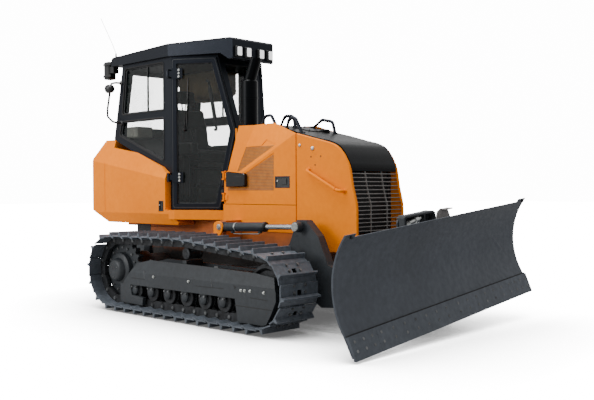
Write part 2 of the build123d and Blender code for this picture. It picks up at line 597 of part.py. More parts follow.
RAIL_PATHS = [
    [(127, -235, 1890), (156, -235, 2000), (257, -235, 2008), (335, -235, 1890)],
    [(233, -100, 1890), (318, -100, 2001), (431, -100, 1995), (470, -100, 1860)],
    [(534, -300, 1845), (574, -300, 1950), (655, -300, 1955), (749, -300, 1795)],
    [(346, 250, 1890), (500, 250, 1973), (640, 250, 1945), (678, 250, 1815)],
]
with BuildPart() as grab_rails:
    for path in RAIL_PATHS:
        bent_bar(path, 14)
    add(deck.part, mode=Mode.SUBTRACT)
    # what would stand below the hood's sheet is cut away
    slab_y([(-400, 1874), (340, 1874), (HOOD_SEAM_X, 1775), (1000, 1700), (1000, 1500), (-400, 1500)], -400, 400, Mode.SUBTRACT)
keep(grab_rails, "grab_rails")

# ---------------------------------------------------------------- cab
cab_plan = [(CAB_REAR_LOW_X, CAB_HALF), (PILLAR_X, CAB_HALF), (CAB_FRONT_MID_X, CAB_FRONT_MID_Y),
            (CAB_FRONT_MID_X, -CAB_FRONT_MID_Y), (PILLAR_X, -CAB_HALF), (CAB_REAR_LOW_X, -CAB_HALF)]
cab_side = [(CAB_REAR_LOW_X, 1850), (CAB_REAR_TOP_X, CAB_TOP_Z), (CAB_FRONT_TOP_X, CAB_TOP_Z),
            (CAB_FRONT_MID_X, CAB_WAIST_Z), (CAB_FRONT_LOW_X, CAB_FLOOR_Z), (-1090, CAB_FLOOR_Z),
            (-1090, 1480)]
side_window_low = [(-1912, 1895), (-1872, 2045), (-1080, 2045), (-1080, 1580)]
side_window_high = [(-1862, 2130), (-1795, 2640), (-1080, 2640), (-1080, 2130)]
windscreen = [(-122, 1960), (122, 1960), (212, 2600), (-212, 2600)]
# the stretch along x in which each end window is cut
WINDSCREEN_REACH = (CAB_FRONT_TOP_X - 104, CAB_FRONT_MID_X + 66)
REAR_WINDOW_REACH = (CAB_REAR_LOW_X - 70, CAB_REAR_TOP_X + 70)
rear_window = [(-440, 1990), (440, 1990), (440, 2600), (-440, 2600)]
door_turn = degrees(atan2(CAB_HALF - CAB_FRONT_MID_Y, CAB_FRONT_MID_X - PILLAR_X))
door_length = hypot(CAB_HALF - CAB_FRONT_MID_Y, CAB_FRONT_MID_X - PILLAR_X)


def along_door(x):
    """Distance from the hinge post along the door's plane to a place x."""
    return (x - PILLAR_X) / cos(radians(door_turn))


door_outline = [(14, 1065), (14, 2660), (along_door(CAB_FRONT_TOP_X) - 12, 2660), (door_length - 12, CAB_WAIST_Z),
                (along_door(CAB_FRONT_LOW_X) - 12, 1065)]


def door_out(s):
    """The direction straight out of the door on side s."""
    return Vector(sin(radians(door_turn)), s * cos(radians(door_turn)), 0)


def door_plane(s, out):
    """The plane of the door on side s, shifted outwards; its x runs forward and its y up."""
    return Plane(origin=Vector(PILLAR_X, s * CAB_HALF, 0) + door_out(s) * out,
                 x_dir=(cos(radians(door_turn)), -s * sin(radians(door_turn)), 0), z_dir=door_out(s) * -s)


def door_slab(s, inset, out_from, thickness, mode=Mode.ADD):
    """Extrudes the door's outline, made smaller by inset, outwards from out_from."""
    with BuildSketch(door_plane(s, out_from)) as leaf:
        with BuildLine():
            Polyline(*door_outline, close=True)
        make_face()
        if inset:
            offset(amount=-inset, kind=Kind.INTERSECTION, mode=Mode.REPLACE)
    extrude(leaf.sketch, amount=thickness, dir=door_out(s), mode=mode)


with BuildPart() as cab_space:
    slab_z(cab_plan, CAB_FLOOR_Z, CAB_TOP_Z, inset=PILLAR)
    slab_y(cab_side, -CAB_HALF, CAB_HALF, Mode.INTERSECT, inset=PILLAR)

with BuildPart() as cab_frame:
    slab_z(cab_plan, CAB_FLOOR_Z, CAB_TOP_Z)
    slab_y(cab_side, -CAB_HALF, CAB_HALF, Mode.INTERSECT)
    add(cab_space.part, mode=Mode.SUBTRACT)
    for window in (side_window_low, side_window_high):
        slab_y(window, -CAB_HALF - 1, CAB_HALF + 1, Mode.SUBTRACT)
    slab_x(windscreen, *WINDSCREEN_REACH, Mode.SUBTRACT)
    slab_x(rear_window, *REAR_WINDOW_REACH, Mode.SUBTRACT)
    for s in SIDES.values():
        door_slab(s, DOOR_LAP, -120, 130, Mode.SUBTRACT)
        # bar of the sliding side window
        box_on_side(s, (-1397, -1385), (CAB_HALF - 30, CAB_HALF - 14), (2125, 2645))
        for z in DOOR_HINGE_Z:
            for low in (z - KNUCKLE_HALF - FACE_GAP - 16, z + KNUCKLE_HALF + FACE_GAP):
                slab_z([(-953, s * (CAB_HALF - 3)), (PILLAR_X - 1, s * (CAB_HALF - 3)),
                        (DOOR_HINGE_X + 16, s * (DOOR_HINGE_Y - 9)), (DOOR_HINGE_X + 16, s * (DOOR_HINGE_Y + 9)),
                        (DOOR_HINGE_X - 16, s * (DOOR_HINGE_Y + 9)), (-953, s * (DOOR_HINGE_Y - 15))], low, low + 16)
            rod((DOOR_HINGE_X, s * DOOR_HINGE_Y, z - KNUCKLE_HALF - 16),
                (DOOR_HINGE_X, s * DOOR_HINGE_Y, z + KNUCKLE_HALF + 16), HINGE_PIN_R, sides=ROLLER_SIDES)
keep(cab_frame, "cab_frame")

with BuildPart() as cab_glass:
    for s in SIDES.values():
        for window in (side_window_low, side_window_high):
            slab_y(window, s * (CAB_HALF - 30), s * (CAB_HALF - 30 + GLASS_T))
    add(cab_frame.part, mode=Mode.SUBTRACT)
with BuildPart() as front_glass:
    slab_x(windscreen, *WINDSCREEN_REACH)
    slab_y([(CAB_FRONT_TOP_X - 30, CAB_TOP_Z), (CAB_FRONT_TOP_X - 30 + GLASS_T, CAB_TOP_Z),
            (CAB_FRONT_MID_X - 30 + GLASS_T, CAB_WAIST_Z), (CAB_FRONT_MID_X - 30, CAB_WAIST_Z)], -400, 400, Mode.INTERSECT)
with BuildPart() as rear_glass:
    slab_x(rear_window, *REAR_WINDOW_REACH)
    slab_y([(CAB_REAR_TOP_X + 20, CAB_TOP_Z), (CAB_REAR_TOP_X + 20 + GLASS_T, CAB_TOP_Z),
            (CAB_REAR_LOW_X + 20 + GLASS_T, 1850), (CAB_REAR_LOW_X + 20, 1850)], -500, 500, Mode.INTERSECT)
with BuildPart() as all_glass:
    add(cab_glass.part)
    add(front_glass.part)
    add(rear_glass.part)
keep(all_glass, "cab_glass")

with BuildPart() as roof:
    slab_y([(ROOF_REAR_X, CAB_TOP_Z), (ROOF_REAR_X, ROOF_REAR_Z - 35), (ROOF_REAR_X + 30, ROOF_REAR_Z - 10),
            (PILLAR_X, VISOR_TOP_Z - 25), (VISOR_X - 25, VISOR_TOP_Z), (VISOR_X, VISOR_TOP_Z - 18), (VISOR_X, VISOR_LOW_Z),
            (VISOR_X - 40, VISOR_LOW_Z - 8), (VISOR_X - 130, CAB_TOP_Z)], -ROOF_HALF, ROOF_HALF)
    slab_z([(ROOF_REAR_X, ROOF_HALF), (PILLAR_X - 15, ROOF_HALF), (VISOR_X, VISOR_HALF), (VISOR_X, -VISOR_HALF),
            (PILLAR_X - 15, -ROOF_HALF), (ROOF_REAR_X, -ROOF_HALF)], VISOR_LOW_Z - 132, VISOR_TOP_Z + 55, Mode.INTERSECT)
    # shallow dish in the top sheet
    box_between((ROOF_REAR_X + 130, 200 - ROOF_HALF, ROOF_REAR_Z + 17),
                (PILLAR_X + 135, ROOF_HALF - 200, VISOR_TOP_Z + 55), Mode.SUBTRACT)
keep(roof, "cab_roof")

with BuildPart() as seat:
    box_between((SEAT_FRONT_X - 150, -200, CAB_FLOOR_Z + PILLAR), (SEAT_FRONT_X - 20, 200, SEAT_TOP_Z - 120))
    box_between((SEAT_FRONT_X - 480, -250, SEAT_TOP_Z - 120), (SEAT_FRONT_X, 250, SEAT_TOP_Z))
    slab_y([(SEAT_FRONT_X - 460, SEAT_TOP_Z), (SEAT_FRONT_X - 570, SEAT_TOP_Z + 540),
            (SEAT_FRONT_X - 480, SEAT_TOP_Z + 540), (SEAT_FRONT_X - 350, SEAT_TOP_Z)], -240, 240)
    slab_y([(SEAT_FRONT_X - 555, SEAT_TOP_Z + 540), (SEAT_FRONT_X - 585, SEAT_TOP_Z + 710),
            (SEAT_FRONT_X - 515, SEAT_TOP_Z + 710), (SEAT_FRONT_X - 485, SEAT_TOP_Z + 540)], -130, 130)
    add(cab_frame.part, mode=Mode.SUBTRACT)
keep(seat, "seat")

with BuildPart() as console:
    for s in SIDES.values():
        slab_y([(-1035, CAB_FLOOR_Z + PILLAR), (-1035, 1530), (-1330, 1650), (-1330, SEAT_TOP_Z + 150),
                (-1150, SEAT_TOP_Z + 160), (-860, SEAT_TOP_Z + 60), (-800, SEAT_TOP_Z - 40), (-830, CAB_FLOOR_Z + PILLAR)],
               s * 285, s * 400)
    slab_y([(-600, CAB_FLOOR_Z + PILLAR), (-500, 1640), (-440, 1640), (-480, 1300), (-540, CAB_FLOOR_Z + PILLAR)], -150, 150)
    add(cab_frame.part, mode=Mode.SUBTRACT)
keep(console, "consoles")

# ---------------------------------------------------------------- cab doors
for side, s in SIDES.items():
    with BuildPart() as door:
        door_slab(s, 0, DOOR_OUT, DOOR_T)
        door_slab(s, DOOR_RAIL, DOOR_OUT - 1, DOOR_T + 2, Mode.SUBTRACT)
        for z in DOOR_HINGE_Z:
            strap = [(-20, z - KNUCKLE_HALF + 2), (20, z - KNUCKLE_HALF + 2), (20, z - 55), (140, z - 55),
                     (140, z + 55), (20, z + 55), (20, z + KNUCKLE_HALF - 2), (-20, z + KNUCKLE_HALF - 2)]
            with BuildSketch(door_plane(s, DOOR_OUT + DOOR_T)) as strap_face:
                with BuildLine():
                    Polyline(*strap, close=True)
                make_face()
            extrude(strap_face.sketch, amount=8, dir=door_out(s))
            rod((DOOR_HINGE_X, s * DOOR_HINGE_Y, z - KNUCKLE_HALF),
                (DOOR_HINGE_X, s * DOOR_HINGE_Y, z + KNUCKLE_HALF), KNUCKLE_R, sides=12)
            bore_sides = DISC_SIDES if z == DOOR_HINGE_Z[0] else 0
            rod((DOOR_HINGE_X, s * DOOR_HINGE_Y, z - KNUCKLE_HALF - 1),
                (DOOR_HINGE_X, s * DOOR_HINGE_Y, z + KNUCKLE_HALF + 1), HINGE_PIN_R + RUNNING_GAP, Mode.SUBTRACT,
                bore_sides)
    keep(door, f"door_{side}")
    with BuildPart() as pane:
        door_slab(s, DOOR_RAIL, DOOR_OUT + 8, GLASS_T)
    keep(pane, f"door_glass_{side}")

# ---------------------------------------------------------------- push frame
with BuildPart() as push_frame:
    for s in SIDES.values():
        slab_y([(-90, 420), (-60, 350), (1100, 300), (1250, 220), (1500, 240), (BEAM_X1, BEAM_Z0), (BEAM_X1, BEAM_Z1),
                (1330, 600), (1210, 850), (1060, 990), (950, 990), (860, 780), (700, 560), (60, 500), (-40, 500)],
               s * ARM_INNER_Y, s * ARM_OUTER_Y)
        disc_y(LIFT_X, LIFT_Z, LIFT_PIN_R + RUNNING_GAP, s * 490, s * 600, Mode.SUBTRACT)
        lug_z = ANGLE_CYL_Z + 22 + FACE_GAP
        rod((ANGLE_BASE_X, s * ANGLE_BASE_Y, ANGLE_CYL_Z - 24), (ANGLE_BASE_X, s * ANGLE_BASE_Y, ANGLE_CYL_Z + 30), 14,
            sides=ROLLER_SIDES)
        box_on_side(s, (ANGLE_BASE_X - 45, ANGLE_BASE_X + 45), (ANGLE_BASE_Y - 40, ARM_INNER_Y), (lug_z, lug_z + 25))
    box_between((BEAM_X0, -ARM_OUTER_Y, BEAM_Z0), (BEAM_X1, ARM_OUTER_Y, BEAM_Z1))
    for z0, z1 in ((BEAM_Z0, BEAM_Z0 + NOSE_PLATE), (BEAM_Z1 - NOSE_PLATE, BEAM_Z1)):
        box_between((BEAM_X1 - 10, -NOSE_R, z0), (ANGLE_X, NOSE_R, z1))
        rod((ANGLE_X, 0, z0), (ANGLE_X, 0, z1), NOSE_R, sides=DISC_SIDES)
    rod((ANGLE_X, 0, BEAM_Z0 - 15), (ANGLE_X, 0, BEAM_Z1 + 15), ANGLE_PIN_R, sides=DISC_SIDES)
keep(push_frame, "push_frame")

for side, s in SIDES.items():
    base = Vector(LIFT_BASE_X, s * LIFT_CYL_Y, LIFT_BASE_Z)
    eye = Vector(LIFT_EYE_X, s * LIFT_CYL_Y, LIFT_EYE_Z)
    along = (eye - base).normalized()
    with BuildPart() as barrel:
        disc_y(base.X, base.Z, LIFT_BASE_R, base.Y - LIFT_EYE_HALF, base.Y + LIFT_EYE_HALF, sides=DISC_SIDES)
        disc_y(base.X, base.Z, EYE_PIN_R + RUNNING_GAP, base.Y - 31, base.Y + 31, Mode.SUBTRACT)
        rod(base + along * 45, base + along * (LIFT_NECK + 2), LIFT_EYE_HALF - 2, sides=ROLLER_SIDES)
        rod(base + along * LIFT_NECK, base + along * LIFT_BARREL, LIFT_BARREL_R, sides=DISC_SIDES)
        rod(base + along * 95, base + along * (LIFT_BARREL + 1), LIFT_ROD_R + RUNNING_GAP, Mode.SUBTRACT, DISC_SIDES)
    keep(barrel, f"lift_barrel_{side}")
    with BuildPart() as lift_rod:
        rod(eye - along * LIFT_ROD, eye - along * 30, LIFT_ROD_R, sides=DISC_SIDES)
        disc_y(eye.X, eye.Z, 48, s * (ARM_OUTER_Y + FACE_GAP), s * 665, sides=DISC_SIDES)
    keep(lift_rod, f"lift_rod_{side}")

# ---------------------------------------------------------------- blade
yawed = Location((ANGLE_X, 0, TILT_Z)) * Location((0, 0, 0), (0, 0, BLADE_YAW))
tilted = yawed * Location((0, 0, 0), (BLADE_TILT, 0, 0))


def keep_at(builder, node, place):
    """Puts a piece drawn about the angle pin into its stored pose, then keeps it."""
    placed = builder.part.moved(place)
    placed.label = node
    export_step(placed, f"parts/{node}.step")


block_half = (BEAM_Z1 - BEAM_Z0) / 2 - NOSE_PLATE - FACE_GAP
with BuildPart() as yoke:
    box_between((-55, -70, -block_half), (90, 70, block_half))
    box_between((85, -90, -80), (115, 90, 235))
    rod((0, 0, -block_half - 1), (0, 0, block_half + 1), ANGLE_PIN_R + RUNNING_GAP, Mode.SUBTRACT)
    box_between((25, -ARM_SPAN, 235), (115, ARM_SPAN, 260))
    rod((114, 0, 0), (235, 0, 0), TRUNNION_R, sides=DISC_SIDES)
    box_between((TILT_CYL_X - 50, TILT_BASE_Y - 35, 250), (TILT_CYL_X - 25, TILT_BASE_Y + 35, TILT_CYL_Z + 35))
keep_at(yoke, "blade_yoke", yawed)



def on_section(back, up):
    """A point of the blade's section: behind the cutting edge's tip and above it."""
    return (BLADE_REACH - back, up - BLADE_LOW)


with BuildPart() as blade:
    with BuildSketch(Plane.XZ.offset(BLADE_HALF)) as section:
        with BuildLine() as profile:
            ThreePointArc(on_section(86, 168), on_section(180, 530), on_section(34, EAR_HEIGHT))
            Line(on_section(34, EAR_HEIGHT), on_section(34 + PLATE_T, EAR_HEIGHT))
            ThreePointArc(on_section(34 + PLATE_T, EAR_HEIGHT), on_section(180 + PLATE_T, 530),
                          on_section(106, 168))
            Polyline(on_section(106, 168), on_section(40, 20), on_section(24, 20), on_section(86, 168))
        make_face()
    extrude(section.sketch, amount=2 * BLADE_HALF, dir=(0, 1, 0))
    # the middle of the top edge lies below the two corner ears
    box_between((BLADE_REACH - 120, -BLADE_HALF + 130, BLADE_HEIGHT - BLADE_LOW),
                (BLADE_REACH + 20, BLADE_HALF - 130, EAR_HEIGHT + 10 - BLADE_LOW), Mode.SUBTRACT)
    # stiffeners on the back: a top box, a low box and upright ribs
    rib_places = [s * (BLADE_HALF - inset) for s in SIDES.values() for inset in (OUTER_RIB_INSET, INNER_RIB_INSET)]
    for y in rib_places:
        slab_y([on_section(90, BLADE_HEIGHT - 33), on_section(205, 640), on_section(225, 420), on_section(190, 230),
                on_section(86, 130), on_section(112, 300), on_section(130, 530), on_section(40, BLADE_HEIGHT - 33)],
               y - PLATE_T / 2, y + PLATE_T / 2)
    slab_y([on_section(60, BLADE_HEIGHT - 27), on_section(122, BLADE_HEIGHT - 57),
            on_section(150, BLADE_HEIGHT - 133), on_section(110, BLADE_HEIGHT - 133)],
           -BLADE_HALF + 110, BLADE_HALF - 110)
    slab_y([on_section(92, 152), on_section(150, 152), on_section(196, 235), on_section(150, 300)],
           -BLADE_HALF + 60, BLADE_HALF - 60)
    # bearing housing of the tilt trunnion
    box_between((120, -100, -95), (250, 100, 95))
    rod((119, 0, 0), (237, 0, 0), TRUNNION_R + RUNNING_GAP, Mode.SUBTRACT)
    # lug of the tilt cylinder's eye
    box_between((TILT_CYL_X + 25, TILT_EYE_Y - 35, TILT_CYL_Z - 40), (230, TILT_EYE_Y + 35, TILT_CYL_Z + 40))
    # nothing stands in front of the mouldboard's face
    with BuildSketch(Plane.XZ.offset(BLADE_HALF)) as front_air:
        with BuildLine():
            ThreePointArc(on_section(86, 168), on_section(180, 530), on_section(34, EAR_HEIGHT))
            Polyline(on_section(34, EAR_HEIGHT), on_section(-80, EAR_HEIGHT), on_section(-80, 168),
                     on_section(86, 168))
        make_face()
    extrude(front_air.sketch, amount=2 * BLADE_HALF, dir=(0, 1, 0), mode=Mode.SUBTRACT)
keep_at(blade, "blade", tilted)

with BuildPart() as cutting_edge:
    with BuildSketch(Plane.XZ.offset(BLADE_HALF)) as edge_section:
        with BuildLine():
            Polyline(on_section(0, 0), on_section(66, 178), on_section(85.7, 167.5), on_section(23.7, 19.5),
                     on_section(23.7, 0), close=True)
        make_face()
    extrude(edge_section.sketch, amount=2 * BLADE_HALF, dir=(0, 1, 0))
    for s in SIDES.values():
        box_between((BLADE_REACH - 100, s * (BLADE_HALF - 340) - 1, -BLADE_LOW - 10),
                    (BLADE_REACH + 10, s * (BLADE_HALF - 340) + 1, 200 - BLADE_LOW), Mode.SUBTRACT)
keep_at(cutting_edge, "cutting_edge", tilted)

# ---------------------------------------------------------------- angle and tilt cylinders
yaw = radians(BLADE_YAW)
for side, s in SIDES.items():
    lever_y = s * ANGLE_LEVER
    base = Vector(ANGLE_BASE_X, s * ANGLE_BASE_Y, ANGLE_CYL_Z)
    eye = Vector(ANGLE_X + ANGLE_EYE_X * cos(yaw) - lever_y * sin(yaw),
                 ANGLE_EYE_X * sin(yaw) + lever_y * cos(yaw), ANGLE_CYL_Z)
    along = (eye - base).normalized()
    with BuildPart() as barrel:
        rod(base - Vector(0, 0, 22), base + Vector(0, 0, 22), 36, sides=ROLLER_SIDES)
        rod(base, base + along * 70, 20, sides=PIPE_SIDES)
        rod(base + along * 62, base + along * ANGLE_BARREL, ANGLE_BARREL_R, sides=DISC_SIDES)
        rod(base - Vector(0, 0, 23), base + Vector(0, 0, 23), 14 + RUNNING_GAP, Mode.SUBTRACT)
        rod(base + along * 85, base + along * (ANGLE_BARREL + 1), ANGLE_ROD_R + RUNNING_GAP, Mode.SUBTRACT, DISC_SIDES)
    keep(barrel, f"angle_barrel_{side}")
    with BuildPart() as angle_rod:
        rod(eye - along * ANGLE_ROD, eye - along * 20, ANGLE_ROD_R, sides=DISC_SIDES)
        rod(eye - Vector(0, 0, 22), eye + Vector(0, 0, 22), 34, sides=ROLLER_SIDES)
    keep(angle_rod, f"angle_rod_{side}")

tilt_base = Vector(TILT_CYL_X, TILT_BASE_Y, TILT_CYL_Z)
tilt_eye = Vector(TILT_CYL_X, TILT_EYE_Y, TILT_CYL_Z)
tilt_along = (tilt_eye - tilt_base).normalized()
with BuildPart() as tilt_barrel:
    rod(tilt_base - Vector(24, 0, 0), tilt_base + Vector(24, 0, 0), 30)
    rod(tilt_base, tilt_base + tilt_along * 60, 18, sides=PIPE_SIDES)
    rod(tilt_base + tilt_along * 50, tilt_base + tilt_along * 400, 32, sides=DISC_SIDES)
    rod(tilt_base + tilt_along * 70, tilt_base + tilt_along * 401, 18 + RUNNING_GAP, Mode.SUBTRACT, DISC_SIDES)
keep_at(tilt_barrel, "tilt_barrel", yawed)
with BuildPart() as tilt_rod:
    rod(tilt_eye - tilt_along * 430, tilt_eye - tilt_along * 20, 18, sides=DISC_SIDES)
    rod(tilt_eye - Vector(24, 0, 0), tilt_eye + Vector(24, 0, 0), 30, sides=ROLLER_SIDES)
keep_at(tilt_rod, "tilt_rod", yawed)

# ---------------------------------------------------------------- outside fittings
with BuildPart() as lamps:
    for y in LAMP_Y:
        box_between((VISOR_X, y - 32, VISOR_LOW_Z + 20), (VISOR_X + 34, y + 32, VISOR_LOW_Z + 120))
    for s in SIDES.values():
        box_on_side(s, (ROOF_REAR_X - 185, ROOF_REAR_X - 55), (CAB_HALF - 81, CAB_HALF + 33),
                    (ROOF_REAR_Z - 245, ROOF_REAR_Z - 27))
        box_on_side(s, (ROOF_REAR_X - 58, ROOF_REAR_X), (CAB_HALF - 63, CAB_HALF + 7),
                    (ROOF_REAR_Z - 95, ROOF_REAR_Z - 50))
        box_on_side(s, (ROOF_REAR_X - 58, ROOF_REAR_X + 90), (CAB_HALF - 63, CAB_HALF - 3),
                    (ROOF_REAR_Z - 205, ROOF_REAR_Z - 155))
    add(roof.part, mode=Mode.SUBTRACT)
    add(cab_frame.part, mode=Mode.SUBTRACT)
keep(lamps, "work_lamps")

with BuildPart() as mirror:
    bent_bar([(-1880, -CAB_HALF + 3, 2490), (-1885, -MIRROR_Y, 2490), (-1974, -MIRROR_Y, 2487),
              (-2050, -MIRROR_Y, 2200), (-2050, -MIRROR_Y, 2115), (-1950, -MIRROR_Y, 2052),
              (-1880, -MIRROR_Y, 2035), (-1880, -CAB_HALF + 3, 2035)], 12)
    box_between((-2040, -MIRROR_Y - 28, 2398), (-1935, -MIRROR_Y + 28, 2478))
    add(cab_frame.part, mode=Mode.SUBTRACT)
keep(mirror, "mirror")

with BuildPart() as antenna:
    foot_x, foot_y = ROOF_REAR_X + 10, 60 - ROOF_HALF
    rod((foot_x, foot_y, ROOF_REAR_Z - 20), (foot_x, foot_y, ROOF_REAR_Z + 55), 14, sides=PIPE_SIDES)
    rod((foot_x, foot_y, ROOF_REAR_Z + 50), (foot_x - 280, foot_y - 20, ROOF_REAR_Z + 495), 4, sides=PIPE_SIDES)
    add(roof.part, mode=Mode.SUBTRACT)
keep(antenna, "antenna")
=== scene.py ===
# %% [markdown]
# # Dressing a crawler dozer
# The construction comes in as a fixed frame: every plate, pin and cylinder already stands at its real size.
# This lesson gives each of them its finish, adds the parts that only the eye needs, such as bolts, seals,
# pipes and track shoes, and sets up a plain studio. Everything is in metres: +X forward, +Y left, +Z up.

import math

import bmesh
import bpy
from mathutils import Matrix, Vector


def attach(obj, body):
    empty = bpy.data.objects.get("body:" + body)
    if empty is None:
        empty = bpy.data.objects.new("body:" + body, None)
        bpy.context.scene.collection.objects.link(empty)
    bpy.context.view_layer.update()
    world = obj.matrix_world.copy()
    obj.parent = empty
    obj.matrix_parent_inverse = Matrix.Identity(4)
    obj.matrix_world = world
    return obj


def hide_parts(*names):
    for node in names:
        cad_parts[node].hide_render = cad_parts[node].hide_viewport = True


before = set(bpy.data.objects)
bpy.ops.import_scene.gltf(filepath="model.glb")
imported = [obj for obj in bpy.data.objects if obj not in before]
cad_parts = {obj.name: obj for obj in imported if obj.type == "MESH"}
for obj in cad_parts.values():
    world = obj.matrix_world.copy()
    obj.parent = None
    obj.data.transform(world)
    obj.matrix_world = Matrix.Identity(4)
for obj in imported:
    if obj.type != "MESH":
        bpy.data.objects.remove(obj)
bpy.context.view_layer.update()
SIDES = {"right": -1, "left": 1}

# %% [markdown]
# ## Camera
# The camera stands low, ahead of the right track, about as high as a person's chest. A lens of 50 mm from
# this distance keeps the blade large against the cab. Its direction is built from three turns: the heading,
# a slight dip and a very small roll, so that each can be corrected by itself.

# %% Camera
HEADING, DIP, ROLL = 0.775, 0.0147, 0.0044
EYE = (6.2295, -5.9728, 1.2824)
SENSOR_MM, LENS_MM = 36.0, 50.31
look = Vector((-math.sin(HEADING) * math.cos(DIP), math.cos(HEADING) * math.cos(DIP), -math.sin(DIP)))
camera_data = bpy.data.cameras.new("studio_camera")
camera_data.sensor_width = SENSOR_MM
camera_data.lens = LENS_MM
camera = bpy.data.objects.new("studio_camera", camera_data)
bpy.context.scene.collection.objects.link(camera)
turn = look.to_track_quat("-Z", "Y").to_matrix().to_4x4()
camera.matrix_world = Matrix.Translation(EYE) @ turn @ Matrix.Rotation(-ROLL, 4, "Z")
bpy.context.scene.camera = camera
print("camera looks along", [round(v, 3) for v in look])

# %% [markdown]
# ## Studio
# A machine this size is shown on a white sweep under large soft lights. The sky is a plain white world. One
# broad light above gives the hood and the shoes their bright tops, and a second one from the right models
# the sides, so that upright faces turn a little darker towards the grille. A lit white floor never comes out
# as white as the wall behind it, so the camera sees the floor as a glowing sheet instead, dimmed where the
# machine stands over it. That dimming is ambient occlusion: the share of the sky that a point can see. One
# helper adds a node with its options and inputs, so that a graph of nodes stays short to read.

# %% Studio floor and lights
def linear(hex_code):
    """A colour written as sRGB hex, as the linear values that the shaders use."""
    parts = [int(hex_code[i:i + 2], 16) / 255 for i in (1, 3, 5)]
    return tuple(p / 12.92 if p <= 0.04045 else ((p + 0.055) / 1.055) ** 2.4 for p in parts) + (1.0,)


def add_node(tree, kind, options=None, inputs=None):
    """Adds a node. Options are its own settings; inputs are values or other nodes' outputs, by socket."""
    made = tree.nodes.new(kind)
    for option, value in (options or {}).items():
        setattr(made, option, value)
    for socket, value in (inputs or {}).items():
        if isinstance(value, bpy.types.NodeSocket):
            tree.links.new(value, made.inputs[socket])
        else:
            made.inputs[socket].default_value = value
    return made


WALL_GLOW = 18.0
SKY_STRENGTH = 0.8
world = bpy.data.worlds.new("studio")
bpy.context.scene.world = world
world.use_nodes = True
sky_tree = world.node_tree
backdrop = sky_tree.nodes["Background"]
backdrop.inputs["Color"].default_value = (1.0, 1.0, 1.0, 1.0)
backdrop.inputs["Strength"].default_value = SKY_STRENGTH
seen = add_node(sky_tree, "ShaderNodeLightPath").outputs["Is Camera Ray"]
white_wall = add_node(sky_tree, "ShaderNodeBackground", None, {"Strength": WALL_GLOW})
either = add_node(sky_tree, "ShaderNodeMixShader", None,
                  {"Fac": seen, 1: backdrop.outputs["Background"], 2: white_wall.outputs["Background"]})
sky_tree.links.new(either.outputs["Shader"], sky_tree.nodes["World Output"].inputs["Surface"])

floor_mesh = bmesh.new()
bmesh.ops.create_grid(floor_mesh, x_segments=1, y_segments=1, size=60)
floor_data = bpy.data.meshes.new("studio_floor")
floor_mesh.to_mesh(floor_data)
floor_mesh.free()
floor = bpy.data.objects.new("studio_floor", floor_data)
bpy.context.scene.collection.objects.link(floor)
floor.location.z = -0.001

sweep = bpy.data.materials.new("white_sweep")
sweep.use_nodes = True
sweep_tree = sweep.node_tree
matt = sweep_tree.nodes["Principled BSDF"]
matt.inputs["Base Color"].default_value = (0.42, 0.42, 0.42, 1.0)
matt.inputs["Roughness"].default_value = 0.9
matt.inputs["Specular IOR Level"].default_value = 0.0
open_sky = add_node(sweep_tree, "ShaderNodeAmbientOcclusion", {"samples": 12}, {"Distance": 1.6})
softer = add_node(sweep_tree, "ShaderNodeMath", {"operation": "POWER"}, {0: open_sky.outputs["AO"], 1: 3.2})
bright = add_node(sweep_tree, "ShaderNodeMath", {"operation": "MULTIPLY_ADD"},
                  {0: softer.outputs[0], 1: WALL_GLOW, 2: 0.12})
glow = add_node(sweep_tree, "ShaderNodeEmission", None, {"Strength": bright.outputs[0]})
camera_ray = add_node(sweep_tree, "ShaderNodeLightPath").outputs["Is Camera Ray"]
by_eye = add_node(sweep_tree, "ShaderNodeMixShader", None,
                  {"Fac": camera_ray, 1: matt.outputs["BSDF"], 2: glow.outputs["Emission"]})
sweep_tree.links.new(by_eye.outputs["Shader"], sweep_tree.nodes["Material Output"].inputs["Surface"])
floor_data.materials.append(sweep)


def soft_light(name, place, aim, size, watts):
    """A square area light at a place, turned towards the point that it aims at."""
    data = bpy.data.lights.new(name, "AREA")
    data.shape = "SQUARE"
    data.size = size
    data.energy = watts
    light = bpy.data.objects.new(name, data)
    light.location = place
    light.rotation_euler = (Vector(aim) - Vector(place)).to_track_quat("-Z", "Y").to_euler()
    bpy.context.scene.collection.objects.link(light)


soft_light("top_light", (-1.0, -1.5, 8.5), (0, 0, 0), 7.0, 1100)
soft_light("side_light", (-3.5, -9.0, 4.5), (0, 0, 1.0), 5.0, 620)

# %% [markdown]
# ## Finishes
# Every finish is a small shader graph on the machine's own coordinates, so a pattern keeps its real size on
# each part. The graphs are made with the same node helper as the studio, and are read top to bottom.

# %% The start of a finish
def new_finish(name, **shader_values):
    """A material with its shader set, and the machine's coordinates ready to use."""
    finish = bpy.data.materials.new(name)
    finish.use_nodes = True
    tree = finish.node_tree
    shader = tree.nodes["Principled BSDF"]
    for socket, value in shader_values.items():
        shader.inputs[socket.replace("_", " ")].default_value = value
    where = add_node(tree, "ShaderNodeTexCoord").outputs["Object"]
    return finish, tree, shader, where


MM = 0.001

# %% [markdown]
# ### Paint on steel plate
# The body is sprayed with enamel: an even colour with a faint ripple, called orange peel, about 4 mm from
# crest to crest, which softens reflections. Large panels vary a little in shade, and handling leaves areas
# that are less shiny. White light would wash the orange out, so its reflections take on its own colour.
# The charcoal and black parts are satin, so their highlights are wide.

